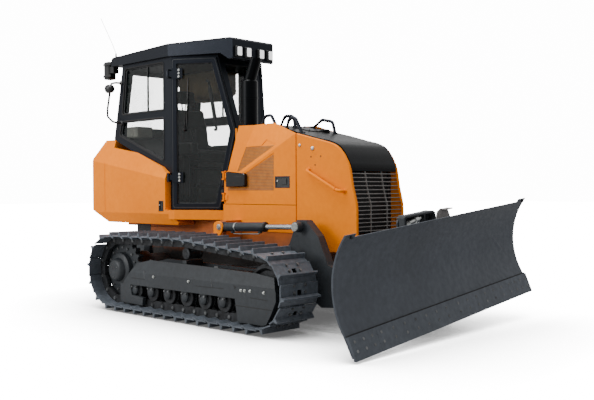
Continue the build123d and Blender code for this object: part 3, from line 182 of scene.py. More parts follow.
# %% Painted plate
def painted_plate(name, paint, worn, gloss, coat, ripple_mm=4.0, ripple_depth=0.12, mirrored="#FFFFFF"):
    """Sprayed enamel: a slow drift between two shades, patchy gloss, and orange peel as a bump."""
    finish, tree, shader, where = new_finish(name, Coat_Weight=coat, Coat_Roughness=0.12,
                                             Specular_IOR_Level=0.3, Specular_Tint=linear(mirrored))
    drift = add_node(tree, "ShaderNodeTexNoise", None, {"Vector": where, "Scale": 1.7, "Detail": 4.0})
    smudges = add_node(tree, "ShaderNodeTexNoise", None, {"Vector": where, "Scale": 21.0, "Detail": 6.0})
    blend = add_node(tree, "ShaderNodeMath", {"operation": "MULTIPLY"},
                     {0: drift.outputs[0], 1: smudges.outputs[0]})
    ramp = add_node(tree, "ShaderNodeValToRGB", None, {"Fac": blend.outputs[0]})
    ramp.color_ramp.elements[0].position, ramp.color_ramp.elements[0].color = 0.12, linear(worn)
    ramp.color_ramp.elements[1].position, ramp.color_ramp.elements[1].color = 0.42, linear(paint)
    tree.links.new(ramp.outputs["Color"], shader.inputs["Base Color"])
    sheen = add_node(tree, "ShaderNodeMapRange", None,
                     {"Value": smudges.outputs[0], "From Min": 0.3, "From Max": 0.7, "To Min": gloss + 0.08,
                      "To Max": gloss})
    tree.links.new(sheen.outputs[0], shader.inputs["Roughness"])
    peel = add_node(tree, "ShaderNodeTexNoise", None,
                    {"Vector": where, "Scale": 1 / (ripple_mm * MM), "Detail": 1.0})
    bump = add_node(tree, "ShaderNodeBump", None,
                    {"Height": peel.outputs[0], "Strength": ripple_depth, "Distance": 0.4 * MM})
    tree.links.new(bump.outputs["Normal"], shader.inputs["Normal"])
    return finish


body_enamel = painted_plate("body_enamel", "#EA8000", "#E07600", gloss=0.5, coat=0.0, mirrored="#C86A00")
frame_enamel = painted_plate("frame_enamel", "#2B2F33", "#232629", gloss=0.46, coat=0.04)
cab_enamel = painted_plate("cab_enamel", "#0A0C10", "#07090C", gloss=0.36, coat=0.03, mirrored="#B8C4DC")
hood_black = painted_plate("hood_black", "#050608", "#040506", gloss=0.27, coat=0.0, mirrored="#6E7074")
blade_enamel = painted_plate("blade_enamel", "#434850", "#393E45", gloss=0.50, coat=0.03)
shoe_enamel = painted_plate("shoe_enamel", "#5A6068", "#40454B", gloss=0.42, coat=0.04, ripple_mm=9.0,
                            ripple_depth=0.3)
print("painted finishes:", body_enamel.name, frame_enamel.name, cab_enamel.name, hood_black.name,
      blade_enamel.name)

# %% [markdown]
# ### Track steel
# Track links and shoes are forged and rolled boron steel with a thin dark paint, which soon wears through
# where soil rubs it. The surface is rough and nearly black in the hollows, with grey-brown scale showing.

# %% Forged and rolled track steel
def forged_steel(name, dark, light, rough):
    """Dark scaled steel: one noise mixes the colours, and pits of 3 mm break the surface."""
    finish, tree, shader, where = new_finish(name, Metallic=0.55)
    scale = add_node(tree, "ShaderNodeTexNoise", None,
                     {"Vector": where, "Scale": 14.0, "Detail": 7.0, "Roughness": 0.62})
    ramp = add_node(tree, "ShaderNodeValToRGB", None, {"Fac": scale.outputs[0]})
    ramp.color_ramp.elements[0].position, ramp.color_ramp.elements[0].color = 0.38, linear(dark)
    ramp.color_ramp.elements[1].position, ramp.color_ramp.elements[1].color = 0.72, linear(light)
    tree.links.new(ramp.outputs["Color"], shader.inputs["Base Color"])
    sheen = add_node(tree, "ShaderNodeMapRange", None,
                     {"Value": scale.outputs[0], "To Min": rough + 0.12, "To Max": rough - 0.1})
    tree.links.new(sheen.outputs[0], shader.inputs["Roughness"])
    pits = add_node(tree, "ShaderNodeTexNoise", None, {"Vector": where, "Scale": 1 / (3 * MM), "Detail": 3.0})
    bump = add_node(tree, "ShaderNodeBump", None,
                    {"Height": pits.outputs[0], "Strength": 0.25, "Distance": 0.6 * MM})
    tree.links.new(bump.outputs["Normal"], shader.inputs["Normal"])
    return finish


track_steel = forged_steel("track_steel", "#1B1C1F", "#3C3E41", rough=0.5)
roller_steel = forged_steel("roller_steel", "#1A1B1D", "#35373A", rough=0.55)

# %% [markdown]
# ### Bright steel, rubber, moulded plastic and glass
# Cylinder rods are ground and hard-chromed, which gives almost a mirror with a faint haze on it. Bolts are
# zinc-plated. Seals are black rubber, which scatters light almost evenly. The cab is glazed with green-grey
# safety glass, which mirrors the sky more at flat angles than head on.

# %% Bright steel
def bright_steel(name, tint, rough):
    """Ground or plated steel, with a slight patchiness that keeps it from looking like a mirror."""
    finish, tree, shader, where = new_finish(name, Metallic=1.0, Base_Color=linear(tint))
    haze = add_node(tree, "ShaderNodeTexNoise", None, {"Vector": where, "Scale": 60.0, "Detail": 3.0})
    sheen = add_node(tree, "ShaderNodeMapRange", None,
                     {"Value": haze.outputs[0], "To Min": rough + 0.1, "To Max": max(rough - 0.08, 0.02)})
    tree.links.new(sheen.outputs[0], shader.inputs["Roughness"])
    return finish


rod_chrome = bright_steel("rod_chrome", "#D3D5D6", 0.16)
zinc_plate = bright_steel("zinc_plate", "#B9BBB8", 0.34)
zinc_worn = forged_steel("zinc_worn", "#3A3B3D", "#77797A", rough=0.42)
pin_steel = forged_steel("pin_steel", "#7A7C7A", "#A4A6A2", rough=0.4)
edge_steel = painted_plate("edge_steel", "#4A5058", "#3C4148", gloss=0.5, coat=0.03)


# %% Rubber and moulded plastic
def moulded(name, tint, rough, grain_mm=7.0, depth=0.12):
    """Rubber or plastic from an etched mould. Its real grain of 1 mm is drawn coarser, so that it shows."""
    finish, tree, shader, where = new_finish(name, Metallic=0.0)
    drift = add_node(tree, "ShaderNodeTexNoise", None, {"Vector": where, "Scale": 9.0, "Detail": 3.0})
    shade = add_node(tree, "ShaderNodeMix", {"data_type": "RGBA"}, {0: drift.outputs[0], 6: linear(tint)})
    shade.inputs[7].default_value = tuple(min(1, c * 1.45) for c in linear(tint)[:3]) + (1.0,)
    tree.links.new(shade.outputs[2], shader.inputs["Base Color"])
    shader.inputs["Roughness"].default_value = rough
    grain = add_node(tree, "ShaderNodeTexNoise", None,
                     {"Vector": where, "Scale": 1 / (grain_mm * MM), "Detail": 1.0})
    bump = add_node(tree, "ShaderNodeBump", None,
                    {"Height": grain.outputs[0], "Strength": depth, "Distance": 0.3 * MM})
    tree.links.new(bump.outputs["Normal"], shader.inputs["Normal"])
    return finish


seal_rubber = moulded("seal_rubber", "#0A0A0B", 0.72)
black_moulding = moulded("black_moulding", "#0D0E0F", 0.42)
gloss_moulding = moulded("gloss_moulding", "#08090A", 0.16, depth=0.03)
trim_moulding = moulded("trim_moulding", "#191B1D", 0.6)
grey_moulding = moulded("grey_moulding", "#85867C", 0.5)

# %% Cab glass
# A thin pane only dims what is behind it, so it is a part see-through sheet and not a block of solid glass.
cab_glass, glass_tree, glass_shader, glass_where = new_finish(
    "cab_glass", Base_Color=linear("#0C1413"), IOR=1.52, Alpha=0.3, Specular_IOR_Level=0.9)
film = add_node(glass_tree, "ShaderNodeTexNoise", None, {"Vector": glass_where, "Scale": 3.0, "Detail": 5.0})
haze = add_node(glass_tree, "ShaderNodeMapRange", None,
                {"Value": film.outputs[0], "To Min": 0.02, "To Max": 0.12})
glass_tree.links.new(haze.outputs[0], glass_shader.inputs["Roughness"])
dust = add_node(glass_tree, "ShaderNodeMapRange", None,
                {"Value": film.outputs[0], "To Min": 0.24, "To Max": 0.36})
glass_tree.links.new(dust.outputs[0], glass_shader.inputs["Alpha"])

# %% Lamp lens
lamp_lens, lens_tree, lens_shader, lens_where = new_finish(
    "lamp_lens", Base_Color=linear("#F6F8F8"), IOR=1.49, Coat_Weight=0.6, Emission_Color=linear("#FFFFFF"),
    Emission_Strength=0.9)
flutes = add_node(lens_tree, "ShaderNodeTexWave", {"bands_direction": "Y"},
                  {"Vector": lens_where, "Scale": 1 / (28 * MM)})
flute_bump = add_node(lens_tree, "ShaderNodeBump", None,
                      {"Height": flutes.outputs[0], "Strength": 0.4, "Distance": MM})
lens_tree.links.new(flute_bump.outputs["Normal"], lens_shader.inputs["Normal"])

# %% [markdown]
# ### Hull paint with painted shade
# The hull runs between the tracks, in deep shade under the body. Its colour is a shaded orange near the top,
# and towards the ground it turns nearly black: painted shade, blended by height, with a ragged edge from a
# noise.

# %% Hull paint with painted shade towards the ground
hull_shaded_paint, hull_tree, hull_shader, hull_where = new_finish("hull_shaded_paint", Roughness=0.62)
place_on = add_node(hull_tree, "ShaderNodeSeparateXYZ", None, {"Vector": hull_where})
ragged = add_node(hull_tree, "ShaderNodeTexNoise", None, {"Vector": hull_where, "Scale": 7.0, "Detail": 8.0})
height = add_node(hull_tree, "ShaderNodeMath", {"operation": "MULTIPLY_ADD"},
                  {0: ragged.outputs[0], 1: 0.22, 2: 0.0})
level = add_node(hull_tree, "ShaderNodeMath", {"operation": "ADD"},
                 {0: place_on.outputs["Z"], 1: height.outputs[0]})
shade_by_height = add_node(hull_tree, "ShaderNodeMapRange", None,
                {"Value": level.outputs[0], "From Min": 0.70, "From Max": 0.98})
# Painted shade: near black low down and a shaded orange higher up stand in for the shadow under the body and
# between the tracks.
painted_shade_ramp = add_node(hull_tree, "ShaderNodeValToRGB", None, {"Fac": shade_by_height.outputs[0]})
painted_shade_ramp.color_ramp.elements[0].position, painted_shade_ramp.color_ramp.elements[0].color = 0.0, linear("#140C08")
painted_shade_ramp.color_ramp.elements[1].position, painted_shade_ramp.color_ramp.elements[1].color = 1.0, linear("#B35A10")
hull_tree.links.new(painted_shade_ramp.outputs["Color"], hull_shader.inputs["Base Color"])
crust = add_node(hull_tree, "ShaderNodeBump", None,
                 {"Height": ragged.outputs[0], "Strength": 0.5, "Distance": 2 * MM})
hull_tree.links.new(crust.outputs["Normal"], hull_shader.inputs["Normal"])

# %% Give each node its finish
FINISHES = {
    hull_shaded_paint: ["hull"],
    body_enamel: ["rear_body", "hood_sides", "lower_panels", "engine_door_right", "engine_door_left"],
    frame_enamel: ["track_frame_right", "track_frame_left", "engine_block", "drawbar", "push_frame",
                   "lift_barrel_right", "lift_barrel_left", "angle_barrel_right", "angle_barrel_left",
                   "tilt_barrel", "blade_yoke"],
    blade_enamel: ["blade"],
    edge_steel: ["cutting_edge"],
    cab_enamel: ["cab_frame", "cab_roof", "door_right", "door_left", "grab_rails", "exhaust_stack", "grille"],
    hood_black: ["hood_top"],
    gloss_moulding: ["side_cover_right", "side_cover_left"],
    black_moulding: ["consoles", "mirror", "antenna", "work_lamps", "seat"],
    track_steel: ["track_right", "track_left", "sprockets"],
    roller_steel: ["idlers", "rollers"],
    rod_chrome: ["lift_rod_right", "lift_rod_left", "angle_rod_right", "angle_rod_left", "tilt_rod"],
    cab_glass: ["cab_glass", "door_glass_right", "door_glass_left"],
}
for finish, names in FINISHES.items():
    for name in names:
        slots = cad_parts[name].data.materials
        slots.clear()
        slots.append(finish)
print("finished nodes:", sum(len(names) for names in FINISHES.values()))

# %% [markdown]
# ## Working with meshes
# New pieces are made in a bmesh and written to an object once. The helpers below keep that short: one writes
# the finished mesh, and three make the basic stock that most parts start from: a box with broken edges, a
# turned disc or bar, and a plate cut to an outline. Where a real edge would catch the light, the stock gets
# a small bevel. The machine has a right and a left side, so one more helper gives a place on either side.

# %% Helpers for stock
def finished_piece(name, mesh, finish, body, smooth=False):
    """Writes the mesh to an object at the origin, gives it its finish and lets it ride on its body."""
    bmesh.ops.recalc_face_normals(mesh, faces=mesh.faces)
    data = bpy.data.meshes.new(name)
    mesh.to_mesh(data)
    mesh.free()
    data.materials.append(finish)
    if smooth:
        data.shade_smooth()
        data.set_sharp_from_angle(angle=math.radians(35))
    piece = bpy.data.objects.new(name, data)
    bpy.context.scene.collection.objects.link(piece)
    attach(piece, body)
    print(name, len(data.polygons), "faces")
    return piece


def break_edges(mesh, edges, width):
    """Takes the sharpness off edges with one flat of this width."""
    bmesh.ops.bevel(mesh, geom=list(edges), offset=width, offset_type="OFFSET", affect="EDGES", segments=1,
                    profile=0.5, material=-1)


def on_side(s, near, far):
    """Two distances from the middle of the machine as y on side s, the lower one first."""
    return sorted((s * near, s * far))


def block(mesh, low, high, edge=0.0):
    """A box between two corners, with its edges broken."""
    low, high = Vector(low), Vector(high)
    size = high - low
    place = Matrix.Translation((low + high) / 2) @ Matrix.Diagonal((*size, 1.0))
    made = bmesh.ops.create_cube(mesh, size=1.0, matrix=place)["verts"]
    if edge:
        edges = {e for v in made for e in v.link_edges}
        break_edges(mesh, edges, edge)
    return made


def along(start, end):
    """The place and turn that lay the z axis from start to end, and the length between them."""
    start, end = Vector(start), Vector(end)
    reach = end - start
    return Matrix.Translation(start) @ reach.to_track_quat("Z", "Y").to_matrix().to_4x4(), reach.length


def turned(mesh, start, end, profile, steps=24):
    """Spins a profile of (distance along, radius) about the line from start to end."""
    place, _ = along(start, end)
    points = [mesh.verts.new((radius, 0, z)) for z, radius in profile]
    edges = [mesh.edges.new(pair) for pair in zip(points, points[1:])]
    made = bmesh.ops.spin(mesh, geom=points + edges, cent=(0, 0, 0), axis=(0, 0, 1), angle=math.tau,
                          steps=steps, use_merge=True, use_duplicate=False)
    ring = {v for f in {f for g in made["geom_last"] for f in getattr(g, "link_faces", [])} for v in f.verts}
    stack, seen = list(ring), set(ring)
    while stack:
        for e in stack.pop().link_edges:
            for v in e.verts:
                if v not in seen:
                    seen.add(v)
                    stack.append(v)
    bmesh.ops.remove_doubles(mesh, verts=list(seen), dist=1e-6)
    seen = [v for v in seen if v.is_valid]
    bmesh.ops.transform(mesh, matrix=place, verts=seen)
    return seen


def plate(mesh, outline, axis, low, high, edge=0.0):
    """A flat plate: its outline in the two other axes, and its two faces along the axis."""
    def corner(a, b, level):
        return {"x": (level, a, b), "y": (a, level, b), "z": (a, b, level)}[axis]
    face = mesh.faces.new([mesh.verts.new(corner(a, b, low)) for a, b in outline])
    grown = bmesh.ops.extrude_face_region(mesh, geom=[face])["geom"]
    risen = [v for v in grown if isinstance(v, bmesh.types.BMVert)]
    bmesh.ops.translate(mesh, verts=risen, vec=Vector(corner(0, 0, high)) - Vector(corner(0, 0, low)))
    if edge:
        edges = {e for v in risen for e in v.link_edges} | set(face.edges)
        break_edges(mesh, edges, edge)
    return risen


# %% [markdown]
# ### Bolts
# Hex bolts hold most of this machine together. Each has a washer face and a chamfered six-sided head. One
# helper sets a whole row of them, each with its head pointing out of the plate it clamps.

# %% A row of bolts
HEX = 6


def bolt_row(mesh, places, out, across):
    """Hex heads of a size across flats, on a washer, at each place, pointing out."""
    for place in places:
        frame_at, _ = along(place, Vector(place) + Vector(out))
        washer = (across * 0.68, across * 0.12, 14, 0.0)
        hexagon = (across * 0.56, across * 0.5, HEX, across * 0.1)
        for radius, length, sides, rise in (washer, hexagon):
            middle = frame_at @ Matrix.Translation((0, 0, rise + length / 2))
            head = bmesh.ops.create_cone(mesh, cap_ends=True, segments=sides, radius1=radius, radius2=radius,
                                         depth=length, matrix=middle)["verts"]
            top = [e for v in head for e in v.link_edges
                   if all((frame_at.inverted() @ p.co).z > rise + length * 0.9 for p in e.verts)]
            if sides == HEX:
                break_edges(mesh, set(top), across * 0.07)


# %% [markdown]
# ## Tracks
# A track is a chain of 38 forged links with a rolled shoe bolted on each. The chain's pins run on one line:
# round the sprocket at the rear, round the idler in front, and over a carrier roller between them. That
# line is the tightest loop round three circles, so it is found as the hull of their points, and then every
# shoe, link and bolt is set at equal steps along it.

# %% The pin line
SHOES = 38
TRACK_Y = 0.9125
SPROCKET, IDLER, CARRIER = (-1.303, 0.421, 0.316), (0.978, 0.385, 0.280), (-0.154, 0.650, 0.102)


def hull_loop(circles, steps=240):
    """The corners of the tightest loop round circles of (x, z, radius), in order."""
    cloud = bmesh.new()
    for x, z, radius in circles:
        bmesh.ops.create_circle(cloud, segments=steps, radius=radius,
                                matrix=Matrix.Translation((x, 0, z)) @ Matrix.Rotation(math.pi / 2, 4, "X"))
    points = sorted({(round(v.co.x, 6), round(v.co.z, 6)) for v in cloud.verts})
    cloud.free()
    loop = []
    for row in (points, points[::-1]):
        side = []
        for x, z in row:
            while len(side) > 1 and ((side[-1][0] - side[-2][0]) * (z - side[-2][1])
                                     - (side[-1][1] - side[-2][1]) * (x - side[-2][0])) <= 0:
                side.pop()
            side.append((x, z))
        loop += side[:-1]
    return [Vector((x, 0, z)) for x, z in loop]


pin_loop = hull_loop((SPROCKET, IDLER, CARRIER))
spans = [(b - a).length for a, b in zip(pin_loop, pin_loop[1:] + pin_loop[:1])]
PITCH = sum(spans) / SHOES


def on_loop(distance):
    """The point of the pin line at a distance along it."""
    distance %= sum(spans)
    for index, span in enumerate(spans):
        if distance <= span:
            start, end = pin_loop[index], pin_loop[(index + 1) % len(pin_loop)]
            return start.lerp(end, distance / span)
        distance -= span
    return pin_loop[0].copy()


def link_places(side, start=0.5):
    """For each link: the matrix that takes (along, across, out) to its place, from its two pins."""
    places = []
    for index in range(SHOES):
        rear = on_loop((index + start) * PITCH)
        front = on_loop((index + start + 1) * PITCH)
        forward = (front - rear).normalized()
        out = Vector((0, 1, 0)).cross(forward)
        turn = Matrix((forward, Vector((0, -1, 0)), out)).transposed().to_4x4()
        places.append(Matrix.Translation((rear + front) / 2 + Vector((0, side * TRACK_Y, 0))) @ turn)
    return places


print("chain", round(sum(spans), 3), "m, pitch", round(PITCH * 1000, 1), "mm")

# %% [markdown]
# ### Shoes
# A single-grouser shoe is a rolled plate with one tall bar across it. Its leading edge is rolled down and
# the trailing edge up, so that neighbours overlap like tiles. A hole in the middle lets packed soil out,
# and four bolts hold it to the two links. The plate is a grid with the middle face left out, so the hole
# needs no cutting, and the bar is a tapered block pulled up from it.

# %% One shoe, repeated along the loop
SHOE_HALF = 0.2285
GROUSER_TIP = 0.094
BOLT_ACROSS, BOLT_ALONG = 0.067, 0.030


def shoe_shape(mesh, place):
    """One shoe about its two pins: along the chain, across it and outwards."""
    half = PITCH * 0.485
    rows = [(-half - 0.026, 0.031), (-half - 0.006, 0.040), (-half + 0.018, 0.050), (-0.052, 0.054),
            (-0.020, 0.054), (0.026, 0.054), (0.052, 0.054), (half - 0.02, 0.054), (half, 0.058)]
    columns = [-SHOE_HALF, -0.075, -0.026, 0.026, 0.075, SHOE_HALF]
    grid = [[mesh.verts.new((a, y, out)) for y in columns] for a, out in rows]
    faces = []
    for i in range(len(rows) - 1):
        for j in range(len(columns) - 1):
            if i == 4 and j == 2:
                continue
            faces.append(mesh.faces.new((grid[i][j], grid[i + 1][j], grid[i + 1][j + 1], grid[i][j + 1])))
    bmesh.ops.recalc_face_normals(mesh, faces=faces)
    thick = bmesh.ops.solidify(mesh, geom=faces, thickness=0.011)["geom"]
    verts = {v for f in faces for v in f.verts} | {v for v in thick if isinstance(v, bmesh.types.BMVert)}
    bar = plate(mesh, [(-0.060, 0.052), (-0.050, GROUSER_TIP), (-0.036, GROUSER_TIP), (-0.022, 0.052)], "y",
                -SHOE_HALF, SHOE_HALF)
    verts |= set(bar) | {v for w in bar for e in w.link_edges for v in e.verts}
    bmesh.ops.transform(mesh, matrix=place, verts=list(verts))


def chain_bolts(mesh, place):
    """The four bolts of a shoe, set with the shoe's own turn."""
    out = place.to_3x3() @ Vector((0, 0, 1))
    spots = [place @ Vector((a, b, 0.054)) for a in (0.004, 0.004 + 2 * BOLT_ALONG)
             for b in (-BOLT_ACROSS, BOLT_ACROSS)]
    for spot in spots:
        frame_at, _ = along(spot, spot + out)
        bmesh.ops.create_cone(mesh, cap_ends=True, segments=6, radius1=0.015, radius2=0.013, depth=0.013,
                              matrix=frame_at @ Matrix.Translation((0, 0, 0.0065)))


for side, s in SIDES.items():
    shoes, bolts = bmesh.new(), bmesh.new()
    for place in link_places(s):
        shoe_shape(shoes, place)
        chain_bolts(bolts, place)
    shoe_piece = finished_piece(f"shoes_{side}", shoes, shoe_enamel, "chassis")
    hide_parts(f"track_{side}")
    finished_piece(f"shoe_bolts_{side}", bolts, zinc_worn, "chassis")

# %% [markdown]
# ### Links
# Each link is a forging with an eye for the pin at one end and for the bushing at the other, and a flat rail
# face that the rollers run on. The two rows of links are mirror images. A link starts as a ten-sided plate.
# A short boss on it makes the eye, the pin's end stands a little out of the boss, and one turned bushing
# joins the two rows.

# %% Links and pins
LINK_IN, LINK_OUT = 0.048, 0.086


def link_shape(mesh, pin_ends, place, across):
    """A pair of half links on one side of the chain, with its bosses and the pin's end."""
    half = PITCH / 2
    outline = [(-half - 0.028, 0.0), (-half - 0.02, 0.026), (-half + 0.012, 0.041), (half - 0.012, 0.041),
               (half + 0.02, 0.026), (half + 0.028, 0.0), (half + 0.018, -0.027), (half - 0.02, -0.042),
               (-half + 0.02, -0.042), (-half - 0.018, -0.027)]
    low, high = on_side(across, LINK_IN, LINK_OUT)
    risen = plate(mesh, outline, "y", low, high)
    verts = {v for w in risen for e in w.link_edges for v in e.verts} | set(risen)
    bmesh.ops.transform(mesh, matrix=place, verts=list(verts))
    for shape, radius, rise in ((mesh, 0.031, 0.004), (pin_ends, 0.019, 0.010)):
        start, stop = (place @ Vector((half, across * (LINK_OUT + out), 0)) for out in (0, rise))
        frame_at, length = along(start, stop)
        bmesh.ops.create_cone(shape, cap_ends=True, segments=12, radius1=radius, radius2=radius * 0.88,
                              depth=length, matrix=frame_at @ Matrix.Translation((0, 0, length / 2)))


for side, s in SIDES.items():
    links, pin_ends = bmesh.new(), bmesh.new()
    for place in link_places(s):
        for across in (-1, 1):
            link_shape(links, pin_ends, place, across)
        start, stop = (place @ Vector((PITCH / 2, across, 0)) for across in (-LINK_IN, LINK_IN))
        turned(links, start, stop, [(0.0, 0.029), (2 * LINK_IN, 0.029)], steps=12)
    finished_piece(f"links_{side}", links, roller_steel, "chassis")
    finished_piece(f"link_pin_ends_{side}", pin_ends, zinc_worn, "chassis")

# %% [markdown]
# ## Rollers, idlers and sprockets
# Under the track frame seven double-flanged rollers carry the machine on the chain's rails, and one more
# carries the top run. The idler leads the chain round in front with a raised centre flange, and the sprocket
# drives it at the rear. All are turned parts, so each is half a section spun about its own axle. Their
# sections are lists of (distance along the axle, radius), taken from the outer face to the inner one.

# %% Rollers
ROLLER_X = [-0.965 + 0.277 * index for index in range(7)]
ROLLER_Z = 0.2324
TREAD = [(0.000, 0.0), (0.000, 0.045), (0.006, 0.052), (0.006, 0.092), (0.012, 0.097), (0.016, 0.084),
         (0.054, 0.084), (0.058, 0.094), (0.064, 0.094), (0.070, 0.041)]
FULL_TREAD = TREAD + [(0.2 - reach, radius) for reach, radius in reversed(TREAD)]
CARRIER_SECTION = [(0.000, 0.0), (0.000, 0.026), (0.004, 0.030), (0.006, 0.046), (0.010, 0.056),
                   (0.030, 0.056), (0.034, 0.050), (0.150, 0.050), (0.154, 0.056), (0.174, 0.056),
                   (0.178, 0.046), (0.184, 0.030), (0.184, 0.0)]


def across(s, outer, inner, x, z):
    """The two ends of an axle at a place, measured from the chain's middle on side s."""
    return (x, s * (TRACK_Y + outer), z), (x, s * (TRACK_Y + inner), z)


rollers = bmesh.new()
for s in SIDES.values():
    for x in ROLLER_X:
        turned(rollers, *across(s, 0.100, -0.100, x, ROLLER_Z), FULL_TREAD, steps=28)
    turned(rollers, *across(s, 0.092, -0.092, CARRIER[0], CARRIER[1]), CARRIER_SECTION, steps=28)
roller_piece = finished_piece("track_rollers", rollers, roller_steel, "chassis", smooth=True)
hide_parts("rollers")

# %% Roller brackets and their bolts
brackets, bracket_bolts = bmesh.new(), bmesh.new()
for s in SIDES.values():
    for x in ROLLER_X:
        for face in (1, -1):
            roller_end, bracket_face = s * TRACK_Y + face * 0.1005, s * TRACK_Y + face * 0.122
            low, high = sorted((roller_end, bracket_face))
            block(brackets, (x - 0.048, low, ROLLER_Z - 0.012), (x + 0.048, high, 0.300), edge=0.006)
            turned(brackets, (x, roller_end, ROLLER_Z), (x, s * TRACK_Y + face * 0.130, ROLLER_Z),
                   [(0.0, 0.046), (0.018, 0.046), (0.026, 0.034), (0.0295, 0.020), (0.0295, 0.0)], steps=20)
            bolt_row(bracket_bolts, [(x + step, bracket_face, 0.268) for step in (-0.032, 0.032)],
                     (0, face, 0), 0.020)
finished_piece("roller_brackets", brackets, frame_enamel, "chassis", smooth=True)
finished_piece("roller_bolts", bracket_bolts, zinc_worn, "chassis")

# %% Idlers
IDLER_SECTION = [(0.000, 0.0), (0.000, 0.070), (0.012, 0.078), (0.030, 0.086), (0.034, 0.176), (0.012, 0.192),
                 (0.000, 0.198), (0.000, 0.224), (0.042, 0.224), (0.046, 0.240)]
IDLER_FULL = IDLER_SECTION + [(0.176 - reach, radius) for reach, radius in reversed(IDLER_SECTION)]
idlers = bmesh.new()
for s in SIDES.values():
    turned(idlers, *across(s, 0.088, -0.088, IDLER[0], IDLER[1]), IDLER_FULL, steps=56)
    turned(idlers, *across(s, 0.098, -0.098, IDLER[0], IDLER[1]),
           [(0, 0), (0, 0.040), (0.006, 0.046), (0.19, 0.046), (0.196, 0.040), (0.196, 0)], steps=24)
idler_piece = finished_piece("idler_wheels", idlers, roller_steel, "chassis", smooth=True)
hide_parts("idlers")

# %% [markdown]
# ### Sprocket
# The rim carries 24 teeth that push on the chain's bushings. It is bolted to the final drive, a cast housing
# that steps down to a domed cover outside the chain. The rim is one plate with its teeth in the outline.

# %% Sprockets and final drives
TEETH = 24
ROOT, TIP = 0.292, 0.326
FINAL_DRIVE = [(0.000, 0.178), (0.010, 0.184), (0.300, 0.184), (0.345, 0.176), (0.357, 0.160), (0.362, 0.128),
               (0.402, 0.114), (0.414, 0.104), (0.4215, 0.088), (0.4215, 0.030), (0.4185, 0.024),
               (0.4185, 0.0)]
teeth_outline = []
for tooth in range(TEETH):
    for share, radius in ((-0.30, ROOT), (-0.13, TIP), (0.13, TIP), (0.30, ROOT)):
        angle = (tooth + share) * math.tau / TEETH
        teeth_outline.append((SPROCKET[0] + radius * math.cos(angle), SPROCKET[1] + radius * math.sin(angle)))
sprockets, sprocket_bolts = bmesh.new(), bmesh.new()
for s in SIDES.values():
    low, high = on_side(s, TRACK_Y - 0.028, TRACK_Y + 0.028)
    plate(sprockets, teeth_outline, "y", low, high)
    turned(sprockets, (SPROCKET[0], s * 0.641, SPROCKET[1]), (SPROCKET[0], s * 1.063, SPROCKET[1]),
           FINAL_DRIVE, steps=48)
    ring = [(SPROCKET[0] + 0.235 * math.cos(a), s * (TRACK_Y + 0.028), SPROCKET[1] + 0.235 * math.sin(a))
            for a in (index * math.tau / 16 for index in range(16))]
    bolt_row(sprocket_bolts, ring, (0, s, 0), 0.024)
    cover = [(SPROCKET[0] + 0.070 * math.cos(a), s * 1.0612, SPROCKET[1] + 0.070 * math.sin(a))
             for a in (0.5 + index * math.tau / 3 for index in range(3))]
    bolt_row(sprocket_bolts, cover, (0, s, 0), 0.013)
sprocket_piece = finished_piece("drive_sprockets", sprockets, frame_enamel, "chassis",
                                smooth=True)
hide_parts("sprockets")
finished_piece("sprocket_bolts", sprocket_bolts, zinc_worn, "chassis")

# %% [markdown]
# ## Track frame covers
# A long folded cover hides the track frame. Up close it has a bright bolt row near the idler, two lifting
# lugs on top, short welds that run over the crease, narrow drain slits and a seam where the front skirt is
# bolted on. The slits and the seam are thin dark strips laid on the cover, painted shade in place of their
# openings; welds are small rounded beads.

# %% Bolts, welds and slits on the covers
COVER_Y = 1.0525
COVER_BOLTS = [(-0.602, 0.397), (-0.041, 0.394), (0.709, 0.371), (0.758, 0.371), (0.829, 0.375),
               (1.005, 0.374)]
SLITS = [((-0.990, 0.3605), (-0.760, 0.3605)), ((0.067, 0.360), (0.468, 0.366)),
         ((0.824, 0.316), (1.045, 0.311)), ((0.625, 0.2305), (1.100, 0.2305))]
WELDS = [((-0.772, 0.445), (-0.758, 0.366)), ((0.290, 0.440), (0.312, 0.362))]
cover_bolts, slit_shade, welds = bmesh.new(), bmesh.new(), bmesh.new()
for s in SIDES.values():
    bolt_row(cover_bolts, [(x, s * COVER_Y, z) for x, z in COVER_BOLTS], (0, s, 0), 0.022)
    # Painted shade: each drain slit is a dark strip laid on the cover instead of an opening.
    for (x_from, z_from), (x_to, z_to) in SLITS:
        outline = [(x_from, z_from - 0.0035), (x_to, z_to - 0.0035), (x_to, z_to + 0.0035),
                   (x_from, z_from + 0.0035)]
        plate(slit_shade, outline, "y", *on_side(s, COVER_Y - 0.002, COVER_Y + 0.0012))
    plate(slit_shade, [(0.603, 0.411), (0.640, 0.399), (0.622, 0.372)], "y",
          *on_side(s, COVER_Y - 0.002, COVER_Y + 0.0012))
    for (x_from, z_from), (x_to, z_to) in WELDS:
        turned(welds, (x_from, s * (COVER_Y - 0.004), z_from), (x_to, s * (COVER_Y - 0.001), z_to),
               [(0.0, 0.0), (0.004, 0.006), (0.074, 0.006), (0.078, 0.0)], steps=8)
    for x in (-0.687, 0.330):
        ear = [(x - 0.040, 0.520), (x - 0.026, 0.562), (x + 0.026, 0.562), (x + 0.040, 0.520)]
        plate(welds, ear, "y", *on_side(s, TRACK_Y + 0.096, TRACK_Y + 0.110), edge=0.003)
finished_piece("cover_bolts", cover_bolts, zinc_plate, "chassis")
finished_piece("cover_slit_shade", slit_shade, seal_rubber, "chassis")
finished_piece("cover_welds", welds, zinc_worn, "chassis", smooth=True)

# %% [markdown]
# ## Bent bars and rounded outlines
# Pressed panels and bent tubes both turn their corners on a radius. One helper rounds the corners of a path
# in space; panels use it on their outline, and tubes carry a ring along it. A tube could also be a curve
# with a bevel. Rings joined point to point keep it in the same mesh as its feet, and it cannot twist.

